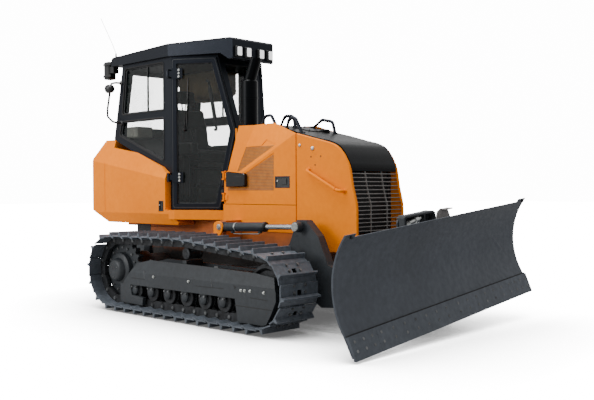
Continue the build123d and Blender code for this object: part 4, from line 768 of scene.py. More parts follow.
# %% Rounded paths and tubes
def rounded(corners, closed=False, steps=5):
    """The points of a path of (point, radius) corners, with an arc at each corner that has a radius."""
    path = []
    for index, (point, radius) in enumerate(corners):
        here = Vector(point)
        at_end = not closed and index in (0, len(corners) - 1)
        if at_end or not radius:
            path.append(here)
            continue
        back = (Vector(corners[index - 1][0]) - here).normalized()
        ahead = (Vector(corners[(index + 1) % len(corners)][0]) - here).normalized()
        half = back.angle(ahead) / 2
        centre = here + (back + ahead).normalized() * radius / math.sin(half)
        start, end = (here + side * radius / math.tan(half) - centre for side in (back, ahead))
        sweep_angle = start.angle(end)
        for step in range(steps + 1):
            share = step / steps
            spoke = start * math.sin((1 - share) * sweep_angle) + end * math.sin(share * sweep_angle)
            path.append(centre + spoke / math.sin(sweep_angle))
    return path


def rounded_outline(corners, closed=True, steps=5):
    """The same for a flat outline of (across, up, radius) corners."""
    path = rounded([((a, b, 0.0), radius) for a, b, radius in corners], closed, steps)
    return [(p.x, p.y) for p in path]


def tube(mesh, corners, radius, sides=12, steps=5):
    """A round bar along a rounded path: rings carried along it without twisting, joined point to point."""
    path = rounded(corners, steps=steps)
    heading = (path[1] - path[0]).normalized()
    turn = heading.to_track_quat("Z", "Y")
    rings = []
    for index, point in enumerate(path):
        before, after = path[max(index - 1, 0)], path[min(index + 1, len(path) - 1)]
        ahead = (after - before).normalized()
        turn = heading.rotation_difference(ahead) @ turn
        heading = ahead
        made = bmesh.ops.create_circle(mesh, segments=sides, radius=radius,
                                       matrix=Matrix.Translation(point) @ turn.to_matrix().to_4x4())["verts"]
        rings.append(made)
    for first, second in zip(rings, rings[1:]):
        for k in range(sides):
            mesh.faces.new((first[k], first[(k + 1) % sides], second[(k + 1) % sides], second[k]))
    for ring in (rings[0][::-1], rings[-1]):
        mesh.faces.new(ring)


# %% [markdown]
# ## Hood
# Two cheeks of thick plate frame the radiator. Their front edge runs in one sweeping curve from the deck to
# the blade, and its broad rounded rim catches the light. Between them a gloss black nose rolls over the top
# of the grille. The cheeks lean in towards the front, so each is drawn flat and then sheared to that slope.

# %% Cheeks with their grab handles
HOOD_SEAM_X, HOOD_FRONT_X = 0.761, 1.463
HOOD_HALF, NOSE_HALF = 0.400, 0.346
CHEEK_T = 0.028
NOSE_CORNERS = [(HOOD_SEAM_X, 1.797, 0), (1.161, 1.696, 0.6), (1.253, 1.661, 0.2), (1.325, 1.578, 0.45),
                (1.385, 1.470, 0.28), (1.415, 1.292, 0.6), (1.461, 1.123, 0.4), (HOOD_FRONT_X, 0.840, 0)]
CHEEK_CORNERS = NOSE_CORNERS + [(HOOD_FRONT_X, 0.690, 0), (1.143, 0.690, 0.02), (1.094, 0.715, 0.02),
                                (1.068, 0.857, 0), (HOOD_SEAM_X, 0.857, 0)]
CHEEK_SLOPE = (HOOD_HALF - NOSE_HALF) / (HOOD_FRONT_X - HOOD_SEAM_X)


def cheek_half(x):
    """Half width over the cheeks at a place along the hood."""
    return HOOD_HALF - CHEEK_SLOPE * max(0.0, x - HOOD_SEAM_X)


cheeks, cheek_trim = bmesh.new(), bmesh.new()
for s in SIDES.values():
    before = set(cheeks.verts)
    plate(cheeks, rounded_outline(CHEEK_CORNERS), "y", *on_side(s, HOOD_HALF, HOOD_HALF - CHEEK_T),
          edge=0.007)
    for vert in set(cheeks.verts) - before:
        vert.co.y -= s * CHEEK_SLOPE * (vert.co.x - HOOD_SEAM_X)
    handle = [((x, s * (cheek_half(x) + out), z), radius) for x, out, z, radius in
              ((0.915, -0.004, 1.452, 0), (0.922, 0.042, 1.442, 0.03), (1.262, 0.042, 1.262, 0.09),
               (1.322, 0.042, 1.252, 0.03), (1.330, -0.004, 1.250, 0))]
    tube(cheeks, handle, 0.0145)
    for x, z in ((0.915, 1.452), (1.330, 1.250)):
        start = Vector((x, s * (cheek_half(x) - 0.002), z))
        turned(cheeks, start, start + Vector((0, s * 0.006, 0)),
               [(0, 0), (0, 0.024), (0.004, 0.022), (0.006, 0)], steps=16)
    for x, z, radius in ((0.806, 1.680, 0.016), (0.959, 1.646, 0.021)):
        start = Vector((x, s * (cheek_half(x) - 0.001), z))
        dome = [(0, radius), (radius * 0.28, radius * 0.94), (radius * 0.55, radius * 0.7),
                (radius * 0.72, radius * 0.3), (radius * 0.75, 0)]
        turned(cheek_trim, start, start + Vector((0, s, 0)), dome, steps=20)
cheek_piece = finished_piece("hood_cheeks", cheeks, body_enamel, "chassis", smooth=True)
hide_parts("hood_sides")
finished_piece("cheek_caps", cheek_trim, zinc_plate, "chassis", smooth=True)

# %% Plugged holes in the cheeks
hole_plugs = bmesh.new()
for s in SIDES.values():
    for x, z in ((0.941, 1.570), (1.055, 1.571), (0.990, 1.493)):
        start = Vector((x, s * (cheek_half(x) - 0.002), z))
        turned(hole_plugs, start, start + Vector((0, s, 0)),
               [(0.0, 0.0), (0.0, 0.008), (0.0028, 0.008), (0.0018, 0.0)], steps=14)
finished_piece("cheek_plugs", hole_plugs, seal_rubber, "chassis", smooth=True)

# %% The black nose
NOSE_TOP = [(1.095, 1.7265, 0), (1.161, 1.7095, 0.5), (1.256, 1.672, 0.16), (1.326, 1.590, 0.4),
            (1.383, 1.480, 0.10), (1.380, 1.432, 0)]
NOSE_UNDER = [(1.352, 1.432, 0), (1.352, 1.478, 0.08), (1.296, 1.560, 0.3), (1.230, 1.640, 0.1),
              (1.095, 1.700, 0)]
nose = bmesh.new()
plate(nose, rounded_outline(NOSE_TOP + NOSE_UNDER, closed=True, steps=8), "y", -1.0, 1.0)
for vert in nose.verts:
    vert.co.y *= cheek_half(vert.co.x) - CHEEK_T - 0.0005
finished_piece("nose_cover", nose, hood_black, "chassis", smooth=True)

# %% [markdown]
# ### Grille
# Seventeen thin round bars cross the opening, tied by two upright strips. They follow the cheeks' front
# edge, so each bar is as far forward as the curve is at its own height. Behind them stands the radiator,
# whose fins are so fine that they are drawn as a texture of narrow ridges.

# %% Grille bars
BAR_COUNT, BAR_STEP, BAR_TOP = 17, 0.037, 1.446
RECESS = 0.012


def nose_x(z):
    """Front edge of the cheeks at a height."""
    for (x_high, z_high, _), (x_low, z_low, _) in zip(NOSE_CORNERS, NOSE_CORNERS[1:]):
        if z_low <= z <= z_high:
            return x_high + (x_low - x_high) * (z_high - z) / (z_high - z_low)
    return HOOD_FRONT_X


bar_steel = painted_plate("bar_steel", "#8B8784", "#6E6B69", gloss=0.4, coat=0.1, ripple_mm=12.0)
bars = bmesh.new()
for index in range(BAR_COUNT):
    z = BAR_TOP - index * BAR_STEP
    x = nose_x(z) - RECESS - 0.005
    half = cheek_half(x) - CHEEK_T
    turned(bars, (x, -half, z), (x, half, z), [(0, 0.0042), (2 * half, 0.0042)], steps=8)
for y in (-0.118, 0.118):
    heights = [1.454, 1.292, 1.123, 0.846]
    front = [(nose_x(z) - RECESS - 0.009, z) for z in heights]
    back = [(x - 0.014, z) for x, z in reversed(front)]
    plate(bars, front + back, "y", y - 0.0035, y + 0.0035)
bar_piece = finished_piece("grille_bars", bars, bar_steel, "chassis", smooth=True)
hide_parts("grille")

# %% Radiator
core_finish, core_tree, core_shader, core_where = new_finish("radiator_fins", Roughness=0.6, Metallic=0.4)
fins = add_node(core_tree, "ShaderNodeTexWave", {"bands_direction": "Y"},
                {"Vector": core_where, "Scale": 1 / (44 * MM)})
dusty = add_node(core_tree, "ShaderNodeTexNoise", None, {"Vector": core_where, "Scale": 26.0, "Detail": 5.0})
core_shade = add_node(core_tree, "ShaderNodeMix", {"data_type": "RGBA"},
                      {0: dusty.outputs[0], 6: linear("#050506"), 7: linear("#17191C")})
core_tree.links.new(core_shade.outputs[2], core_shader.inputs["Base Color"])
fin_bump = add_node(core_tree, "ShaderNodeBump", None,
                    {"Height": fins.outputs[0], "Strength": 0.8, "Distance": 2 * MM})
core_tree.links.new(fin_bump.outputs["Normal"], core_shader.inputs["Normal"])
core = bmesh.new()
block(core, (1.284, -0.330, 0.858), (1.306, 0.330, 1.425), edge=0.003)
for y in (-0.300, 0.300):
    block(core, (1.306, y - 0.022, 0.862), (1.322, y + 0.022, 1.42), edge=0.004)
for z in (0.885, 1.395):
    block(core, (1.306, -0.278, z - 0.018), (1.316, 0.278, z + 0.018), edge=0.003)
finished_piece("radiator", core, core_finish, "chassis")

# %% [markdown]
# ### Air inlets
# Each engine door has two inlet panels of pressed louvres, one on its side face and one on the face that
# leans in above the fold. Every louvre is a thin slanted slat. The slats are made over the whole width and
# then cut to the panel's outline, plane by plane, and last they are laid on the door's surface.

# %% Louvres
FOLD_REAR = Vector((-0.140, HOOD_HALF, 1.372))
FOLD_FRONT = Vector((0.755, HOOD_HALF, 1.794))
FOLD_TOP = Vector((0.028, 0.249, 1.921))
LOUVRE_STEP = 0.0145
FACE_LOUVRES = [(-0.215, 1.259), (0.458, 1.259), (0.458, 1.6225), (-0.090, 1.3645), (-0.215, 1.309)]
LEAN_LOUVRES = [(-0.056, 1.453), (0.462, 1.697), (-0.034, 1.697), (-0.093, 1.453)]
lean_normal = (FOLD_FRONT - FOLD_REAR).cross(FOLD_TOP - FOLD_REAR).normalized()


def lean_half(x, z):
    """How far out the leaning face lies at a place."""
    along_fold = lean_normal.x * (x - FOLD_REAR.x) + lean_normal.z * (z - FOLD_REAR.z)
    return FOLD_REAR.y - along_fold / lean_normal.y


def louvres(mesh, outline, s, surface):
    """Slats cut to an outline of (x, z) corners, laid 5 mm deep on a surface on side s."""
    panel = bmesh.new()
    heights = [z for _, z in outline]
    left, right = min(x for x, _ in outline), max(x for x, _ in outline)
    count = int((max(heights) - min(heights)) / LOUVRE_STEP)
    for index in range(count + 1):
        z = min(heights) + index * LOUVRE_STEP
        slat = [(-0.0046, z + 0.0105), (-0.0030, z + 0.0105), (-0.0002, z), (-0.0018, z)]
        plate(panel, slat, "x", left - 0.01, right + 0.01)
    middle = Vector((sum(x for x, _ in outline), 0, sum(heights))) / len(outline)
    for (x_a, z_a), (x_b, z_b) in zip(outline, outline[1:] + outline[:1]):
        edge_at, side = Vector((x_a, 0, z_a)), Vector((z_a - z_b, 0, x_b - x_a))
        if side.dot(middle - edge_at) > 0:
            side = -side
        bmesh.ops.bisect_plane(panel, geom=panel.verts[:] + panel.edges[:] + panel.faces[:], plane_co=edge_at,
                               plane_no=side, clear_outer=True)
        bmesh.ops.holes_fill(panel, edges=[e for e in panel.edges if e.is_boundary], sides=0)
    for vert in panel.verts:
        vert.co.y = s * (surface(vert.co.x, vert.co.z) + vert.co.y)
    data = bpy.data.meshes.new("louvre_panel")
    panel.to_mesh(data)
    panel.free()
    mesh.from_mesh(data)
    bpy.data.meshes.remove(data)


# Painted shade: the slats are really body orange; this darker brown stands in for the shade in the gaps
# between them.
louvre_shaded_enamel = painted_plate("louvre_shaded_enamel", "#9A6228", "#7C4C1C", gloss=0.5, coat=0.0, ripple_mm=20.0)
for side, s in SIDES.items():
    slats = bmesh.new()
    louvres(slats, FACE_LOUVRES, s, lambda x, z: HOOD_HALF)
    louvres(slats, LEAN_LOUVRES, s, lean_half)
    finished_piece(f"inlet_louvres_{side}", slats, louvre_shaded_enamel, f"engine_door_{side}")

# %% [markdown]
# ### Latches and the side lamp
# Slam latches sit in square pockets: a black cup, a paddle to pull and a small bright lock. The gloss black
# housing on the engine door is a moulded lamp with a dark lens, so its edges are generously rounded.

# %% Latches
def latch(cups, locks, low, high, s, depth, floor_y):
    """A paddle latch that fills a pocket between two (x, z) corners, cut to a depth in side s."""
    (x0, z0), (x1, z1) = low, high
    y_floor, y_face = floor_y - depth + 0.0005, floor_y - 0.001
    under, over = on_side(s, y_floor, y_floor + 0.003)
    block(cups, (x0 + 0.002, under, z0 + 0.002), (x1 - 0.002, over, z1 - 0.002))
    width, tall = x1 - x0, z1 - z0
    rim = [(x0 + 0.002, x0 + 0.016), (x1 - 0.016, x1 - 0.002)]
    near, far = on_side(s, y_floor + 0.002, y_face + 0.002)
    for a, b in rim:
        block(cups, (a, near, z0 + 0.002), (b, far, z1 - 0.002), edge=0.0015)
    for a, b in ((z0 + 0.002, z0 + 0.014), (z1 - 0.014, z1 - 0.002)):
        block(cups, (x0 + 0.016, near, a), (x1 - 0.016, far, b), edge=0.0015)
    block(cups, (x0 + width * 0.45, near, z0 + tall * 0.28), (x0 + width * 0.78, far, z0 + tall * 0.80),
          edge=0.002)
    lock = Vector((x0 + width * 0.16, s * (y_floor + 0.002), z0 + tall * 0.60))
    turned(locks, lock, lock + Vector((0, s, 0)),
           [(0, 0), (0, 0.009), (y_face - y_floor, 0.008), (y_face - y_floor + 0.001, 0)], steps=16)


BODY_HALF = 0.640
for side, s in SIDES.items():
    cups, locks = bmesh.new(), bmesh.new()
    latch(cups, locks, (0.473, 1.280), (0.678, 1.395), s, 0.009, HOOD_HALF)
    finished_piece(f"door_latch_{side}", cups, black_moulding, f"engine_door_{side}")
    finished_piece(f"door_lock_{side}", locks, zinc_plate, f"engine_door_{side}", smooth=True)
    cups, locks = bmesh.new(), bmesh.new()
    latch(cups, locks, (-1.078, 1.035), (-0.990, 1.150), s, 0.014, BODY_HALF)
    finished_piece(f"body_latch_{side}", cups, black_moulding, "chassis")
    finished_piece(f"body_lock_{side}", locks, zinc_plate, "chassis", smooth=True)

# %% Side lamps on the engine doors
POD = [(-0.205, 1.292, 0.012), (-0.205, 1.442, 0.012), (-0.180, 1.448, 0.01), (0.060, 1.430, 0.02),
       (0.078, 1.415, 0.012), (0.078, 1.308, 0.012), (0.060, 1.298, 0.01)]
for side, s in SIDES.items():
    pod = bmesh.new()
    plate(pod, rounded_outline(POD, steps=3), "y", *on_side(s, 0.4001, 0.442), edge=0.006)
    window = [(-0.150, 1.335), (-0.150, 1.405), (0.040, 1.398), (0.040, 1.332)]
    plate(pod, window, "y", *on_side(s, 0.438, 0.4428), edge=0.0006)
    pod_piece = finished_piece(f"side_lamp_{side}", pod, gloss_moulding, f"engine_door_{side}",
                               smooth=True)
    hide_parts(f"side_cover_{side}")

# %% [markdown]
# ### Deck fittings and the exhaust
# Black tube handrails stand on the deck, bent from one length each. The exhaust is a smooth sleeve with a
# slanted outlet pipe, whose thin wall shows at its mouth. A collar closes the gap to the deck.

# %% Handrails, exhaust
RAILS = [[(0.127, -0.235, 1.884), (0.156, -0.235, 2.000), (0.257, -0.235, 2.008), (0.335, -0.235, 1.884)],
         [(0.233, -0.100, 1.884), (0.318, -0.100, 2.001), (0.431, -0.100, 1.995), (0.470, -0.100, 1.860)],
         [(0.534, -0.300, 1.845), (0.574, -0.300, 1.950), (0.655, -0.300, 1.955), (0.749, -0.300, 1.795)],
         [(0.346, 0.250, 1.884), (0.500, 0.250, 1.973), (0.640, 0.250, 1.945), (0.678, 0.250, 1.815)]]
DECK_Z, DECK_CREASE_X = 1.905, 0.345
DECK_FALL, NOSE_FALL = 0.238, 0.2493


def deck_z(x, fall=DECK_FALL):
    """Height of the deck: level behind its crease, and falling by a share of the way in front of it."""
    return DECK_Z - max(0.0, x - DECK_CREASE_X) * fall


rails = bmesh.new()
for rail in RAILS:
    tube(rails, [(point, 0.045) for point in rail], 0.0165)
    for x, y, z in (rail[0], rail[-1]):
        deck = deck_z(x)
        turned(rails, (x, y, deck - 0.003), (x, y, deck + 0.010),
               [(0, 0), (0, 0.030), (0.006, 0.030), (0.010, 0.015)], steps=16)
rail_piece = finished_piece("deck_handrails", rails, cab_enamel, "chassis", smooth=True)
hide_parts("grab_rails")

STACK_X, STACK_Y, STACK_R = -0.132, -0.172, 0.086
stack = bmesh.new()
turned(stack, (STACK_X, STACK_Y, 1.880), (STACK_X, STACK_Y, 2.400),
       [(0, 0), (0, STACK_R), (0.500, STACK_R), (0.512, STACK_R - 0.010), (0.520, 0.062), (0.520, 0)],
       steps=40)
lean = (Vector((0.104, 0, 0.229))).normalized()
foot = Vector((STACK_X, STACK_Y, 2.384))
before = set(stack.verts)
turned(stack, foot, foot + lean, [(0, 0.060), (0.250, 0.060), (0.250, 0.054), (0.02, 0.054)], steps=36)
for vert in set(stack.verts) - before:
    if vert.co.z > 2.5:
        vert.co.z += (vert.co.x - STACK_X - 0.104) * 0.35
turned(stack, (STACK_X, STACK_Y, 1.903), (STACK_X, STACK_Y, 1.930),
       [(0, 0), (0, 0.104), (0.010, 0.104), (0.020, STACK_R)], steps=40)
turned(stack, (STACK_X, STACK_Y, 2.20), (STACK_X, STACK_Y, 2.222),
       [(0, STACK_R), (0, STACK_R + 0.003), (0.022, STACK_R + 0.003), (0.022, STACK_R)], steps=40)
stack_piece = finished_piece("exhaust_sleeve", stack, hood_black, "chassis", smooth=True)
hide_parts("exhaust_stack")

# %% Deck hatch and bolts
deck_parts, deck_bolts = bmesh.new(), bmesh.new()
slope = Matrix.Rotation(math.atan(DECK_FALL), 4, "Y")
hatch_at = Matrix.Translation((0.52, 0.0, deck_z(0.52))) @ slope
before = set(deck_parts.verts)
block(deck_parts, (-0.13, -0.10, 0.0), (0.13, 0.10, 0.008), edge=0.003)
bmesh.ops.transform(deck_parts, matrix=hatch_at, verts=list(set(deck_parts.verts) - before))
cap_at = Vector((0.62, 0.16, deck_z(0.62)))
turned(deck_parts, cap_at - Vector((0, 0, 0.004)), cap_at + Vector((0, 0, 0.03)),
       [(0, 0), (0, 0.050), (0.022, 0.048), (0.030, 0.036), (0.030, 0)], steps=28)
finished_piece("deck_hatch", deck_parts, hood_black, "chassis", smooth=True)
hatch_corners = [hatch_at @ Vector((x, y, 0.008)) for x in (-0.11, 0.11) for y in (-0.08, 0.08)]
bolt_row(deck_bolts, hatch_corners, (0.23, 0, 0.97), 0.016)
nose_corners = [(x, y, deck_z(x, NOSE_FALL) - 0.0005) for x in (0.80, 1.06) for y in (-0.33, 0.33)]
bolt_row(deck_bolts, nose_corners, (0.24, 0, 0.97), 0.016)
finished_piece("deck_bolts", deck_bolts, zinc_worn, "chassis")

# %% [markdown]
# ## Cab
# The cab is a frame of folded tube with the glass glued to it, so every pane is edged by a rubber seal. The
# doors lie in planes that turn in towards the front. A small function gives the place of any point of a door
# leaf, and everything on the doors is laid out with it.

# %% Door seals, hinge bolts, handles and wipers
DOOR_X, DOOR_Y = -0.935, 0.563
DOOR_TURN = math.atan2(0.388, 0.619)
LEAF = [(0.014, 1.065), (0.014, 2.660), (0.506, 2.660), (0.7185, 1.883), (0.5486, 1.065)]


def on_door(s, u, z, out):
    """A point of a door: along the leaf from its hinge, height, and outwards from the frame."""
    return Vector((DOOR_X + u * math.cos(DOOR_TURN) + out * math.sin(DOOR_TURN),
                   s * (DOOR_Y - u * math.sin(DOOR_TURN) + out * math.cos(DOOR_TURN)), z))


def inset(outline, amount):
    """A convex outline shrunk by the same amount on all its sides."""
    middle = sum((Vector(p) for p in outline), Vector((0, 0))) / len(outline)
    lines = []
    for a, b in zip(outline, outline[1:] + outline[:1]):
        a, way = Vector(a), (Vector(b) - Vector(a)).normalized()
        side = Vector((-way.y, way.x))
        lines.append((a + side * (amount if side.dot(middle - a) > 0 else -amount), way))
    corners = []
    for (p, d), (q, e) in zip(lines[-1:] + lines[:-1], lines):
        share = (e.x * (p.y - q.y) - e.y * (p.x - q.x)) / (d.x * e.y - d.y * e.x)
        corners.append(p + d * share)
    return [(c.x, c.y) for c in corners]


def seal(mesh, places, radius):
    """A rubber strip round a pane: a closed path that starts in the middle of its first side."""
    start = (Vector(places[0]) + Vector(places[1])) / 2
    corners = [(p, 0.025) for p in places[1:] + places[:1]]
    tube(mesh, [(start, 0), *corners, (start, 0)], radius, sides=8, steps=4)


pane = inset(LEAF, 0.058)
for side, s in SIDES.items():
    strips, door_bolts, fittings, wiper = bmesh.new(), bmesh.new(), bmesh.new(), bmesh.new()
    seal(strips, [on_door(s, u, z, 0.024) for u, z in pane], 0.0055)
    seal(strips, [on_door(s, u, z, 0.0405) for u, z in inset(LEAF, 0.012)], 0.0050)
    out_way = on_door(s, 0, 0, 1) - on_door(s, 0, 0, 0)
    for z in (1.398, 2.500):
        bolt_row(door_bolts, [on_door(s, 0.100, z + rise, 0.0520) for rise in (-0.034, 0.0, 0.034)], out_way,
                 0.019)
    handle = [(0.585, 1.300, 0.042), (0.585, 1.300, 0.085), (0.612, 1.460, 0.085), (0.612, 1.460, 0.042)]
    tube(fittings, [(on_door(s, *p), 0.018) for p in handle], 0.009)
    start = on_door(s, 0.578, 1.250, 0.043)
    turned(fittings, start, start + out_way * 0.02, [(0, 0), (0, 0.019), (0.012, 0.017), (0.014, 0)],
           steps=18)
    grab = [(0.485, 1.900, 0.012), (0.485, 1.900, -0.050), (0.400, 2.420, -0.050), (0.400, 2.420, 0.012)]
    tube(fittings, [(on_door(s, *p), 0.03) for p in grab], 0.014)
    low, high = on_door(s, 0.475, 1.96, -0.050), on_door(s, 0.410, 2.36, -0.050)
    grip = (high - low).length
    turned(fittings, low, high, [(0, 0.014), (0.006, 0.021), (grip - 0.006, 0.021), (grip, 0.014)], steps=16)
    pivot = on_door(s, 0.150, 1.905, 0.020)
    turned(wiper, pivot, pivot + out_way * 0.03,
           [(0, 0), (0, 0.020), (0.018, 0.018), (0.030, 0.010), (0.030, 0)], steps=18)
    tube(wiper, [(on_door(s, 0.150, 1.905, 0.040), 0), (on_door(s, 0.168, 2.140, 0.044), 0.1),
                 (on_door(s, 0.190, 2.230, 0.034), 0)], 0.0055, sides=8)
    tube(wiper, [(on_door(s, 0.176, 1.960, 0.030), 0), (on_door(s, 0.186, 2.150, 0.037), 0.2),
                 (on_door(s, 0.196, 2.420, 0.030), 0)], 0.0045, sides=8)
    tube(wiper, [(on_door(s, 0.176, 1.935, 0.0245), 0), (on_door(s, 0.197, 2.450, 0.0245), 0)], 0.0040,
         sides=6)
    body = f"door_{side}"
    finished_piece(f"door_seal_{side}", strips, trim_moulding, body, smooth=True)
    finished_piece(f"door_hinge_bolts_{side}", door_bolts, zinc_plate, body)
    finished_piece(f"door_handles_{side}", fittings, black_moulding, body, smooth=True)
    finished_piece(f"door_wiper_{side}", wiper, black_moulding, body, smooth=True)

# %% [markdown]
# ### Fixed windows
# The side windows slide, so their inner frames show as slightly lighter lines inside the black rubber. A
# narrow moulding also covers the joint down the front edge of each front post.

# %% Window seals
SIDE_LOW = [(-1.912, 1.895), (-1.872, 2.045), (-1.080, 2.045), (-1.080, 1.580)]
SIDE_HIGH = [(-1.862, 2.130), (-1.795, 2.640), (-1.080, 2.640), (-1.080, 2.130)]
SCREEN = [(0.122, 1.960), (0.212, 2.600), (-0.212, 2.600), (-0.122, 1.960)]
REAR = [(0.440, 1.990), (0.440, 2.600), (-0.440, 2.600), (-0.440, 1.990)]
SEAL_Y, SASH_Y = 0.5625, 0.5470
window_seals, window_frames = bmesh.new(), bmesh.new()
for s in SIDES.values():
    for outline in (SIDE_LOW, SIDE_HIGH):
        seal(window_seals, [(x, s * SEAL_Y, z) for x, z in inset(outline, -0.004)], 0.0080)
        seal(window_frames, [(x, s * SASH_Y, z) for x, z in inset(outline, 0.008)], 0.0060)
    tube(window_frames, [((-1.391, s * SASH_Y, 2.640), 0), ((-1.391, s * SASH_Y, 2.130), 0)], 0.007, sides=8)
    tube(window_frames, [((-0.332, s * 0.183, 1.890), 0), ((-0.502, s * 0.287, 2.650), 0)], 0.0050, sides=8)
seal(window_seals, [(-0.3285 - (z - 1.883) * 0.223, y, z) for y, z in SCREEN], 0.0070)
seal(window_seals, [(-2.020 + (z - 1.850) * 0.2143 - 0.006, y, z) for y, z in REAR], 0.0080)
finished_piece("window_seals", window_seals, seal_rubber, "chassis", smooth=True)
finished_piece("window_frames", window_frames, trim_moulding, "chassis", smooth=True)

# %% [markdown]
# ### Roof, lamps and mirror
# The roof is a single moulding with a rolled edge. Four lamps look forward from under its brow, and two look
# back from brackets. A lamp is a thick lens in a shallow black housing, held at its rim. The mirror stands
# on a tube hoop at the rear corner, with its round shell set on the hoop.

# %% Lamps
housings, lenses = bmesh.new(), bmesh.new()
for y in (-0.222, -0.092, 0.092, 0.222):
    block(housings, (-0.262, y - 0.040, 2.646), (-0.236, y + 0.040, 2.758), edge=0.006)
    block(housings, (-0.240, y - 0.034, 2.652), (-0.222, y + 0.034, 2.752), edge=0.004)
    plate(lenses, rounded_outline([(y - 0.029, 2.658, 0.008), (y + 0.029, 2.658, 0.008),
                                   (y + 0.029, 2.746, 0.008), (y - 0.029, 2.746, 0.008)], steps=3), "x",
          -0.2225, -0.2185, edge=0.0015)
for s in SIDES.values():
    inner, outer = on_side(s, 0.482, 0.596)
    block(housings, (-2.205, inner + 0.004, 2.556), (-2.096, outer - 0.004, 2.762), edge=0.012)
    block(housings, (-2.100, inner + 0.020, 2.62), (-2.020, outer - 0.020, 2.70), edge=0.004)
    near, far = on_side(s, 0.594, 0.604)
    for z in (2.592, 2.726):
        block(housings, (-2.196, near, z - 0.012), (-2.040, far, z + 0.012), edge=0.002)
    plate(lenses, rounded_outline([(inner + 0.016, 2.572, 0.01), (outer - 0.016, 2.572, 0.01),
                                   (outer - 0.016, 2.746, 0.01), (inner + 0.016, 2.746, 0.01)], steps=3), "x",
          -2.2085, -2.2045, edge=0.0015)
lamp_piece = finished_piece("lamp_housings", housings, black_moulding, "chassis",
                            smooth=True)
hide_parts("work_lamps")
finished_piece("lamp_lenses", lenses, lamp_lens, "chassis", smooth=True)

# %% Roof edge, mirror and aerial
edge_strip = bmesh.new()
for s in SIDES.values():
    tube(edge_strip, [((-2.026, s * 0.597, 2.757), 0), ((-2.000, s * 0.598, 2.786), 0.03),
                      ((-0.952, s * 0.598, 2.8195), 0.03), ((-0.287, s * 0.301, 2.843), 0)], 0.0060, sides=8)
tube(edge_strip, [((-0.287, -0.301, 2.843), 0), ((-0.287, 0.301, 2.843), 0)], 0.0060, sides=8)
finished_piece("roof_edge", edge_strip, trim_moulding, "chassis", smooth=True)

mirror, mirror_face, aerial = bmesh.new(), bmesh.new(), bmesh.new()
HOOP = [(-1.880, -0.560, 2.490), (-1.885, -0.640, 2.490), (-1.974, -0.640, 2.487), (-2.050, -0.640, 2.200),
        (-2.050, -0.640, 2.115), (-1.950, -0.640, 2.052), (-1.880, -0.640, 2.035), (-1.880, -0.560, 2.035)]
tube(mirror, [(p, 0.03) for p in HOOP], 0.012)
for z in (2.490, 2.035):
    turned(mirror, (-1.880, -0.5635, z), (-1.880, -0.580, z),
           [(0, 0), (0, 0.030), (0.008, 0.028), (0.0165, 0.014)], steps=20)
turned(mirror, (-1.945, -0.640, 2.430), (-2.040, -0.640, 2.430),
       [(0, 0), (0.002, 0.022), (0.012, 0.038), (0.030, 0.048), (0.082, 0.052), (0.090, 0.050),
        (0.090, 0.044), (0.084, 0.044), (0.084, 0)], steps=28)
turned(mirror_face, (-2.0285, -0.640, 2.430), (-2.040, -0.640, 2.430),
       [(0, 0), (0, 0.044), (0.003, 0.044), (0.005, 0)], steps=28)
mirror_piece = finished_piece("mirror_on_hoop", mirror, black_moulding, "chassis",
                              smooth=True)
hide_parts("mirror")
finished_piece("mirror_glass", mirror_face, rod_chrome, "chassis", smooth=True)

turned(aerial, (-2.020, -0.540, 2.770), (-2.020, -0.540, 2.850),
       [(0, 0), (0, 0.020), (0.012, 0.020), (0.02, 0.014), (0.08, 0.009), (0.08, 0)], steps=16)
tube(aerial, [((-2.020, -0.540, 2.848), 0), ((-2.085, -0.545, 2.965), 0.4), ((-2.300, -0.560, 3.290), 0)],
     0.0035, sides=6)
aerial_piece = finished_piece("aerial", aerial, seal_rubber, "chassis", smooth=True)
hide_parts("antenna")

# %% [markdown]
# ### Inside the cab
# The seat's cushions are foam under sewn cloth. Each starts as a slightly small block that a cloth
# simulation blows up, and on the two large ones a welt is then pressed in across the middle. The foam is
# stiff, so a point may move by 10 mm at most. The rest of the cab is moulded: arm consoles with levers, a
# ribbed heater box in the rear corner, and a box under the roof that is covered in cloth.

# %% Seat
seat_weave, seat_tree, seat_shader, seat_where = new_finish("seat_weave", Roughness=0.9, Sheen_Weight=0.25)
threads = add_node(seat_tree, "ShaderNodeTexChecker", None,
                   {"Vector": seat_where, "Scale": 1 / (6 * MM), "Color1": linear("#17181A"),
                    "Color2": linear("#202226")})
seat_tree.links.new(threads.outputs["Color"], seat_shader.inputs["Base Color"])
seat_bump = add_node(seat_tree, "ShaderNodeBump", None,
                     {"Height": threads.outputs["Fac"], "Strength": 0.3, "Distance": 0.6 * MM})
seat_tree.links.new(seat_bump.outputs["Normal"], seat_shader.inputs["Normal"])


VOXEL, SETTLE_FRAMES = 0.010, 12
WELT_HALF, WELT_DEPTH = 0.014, 0.006


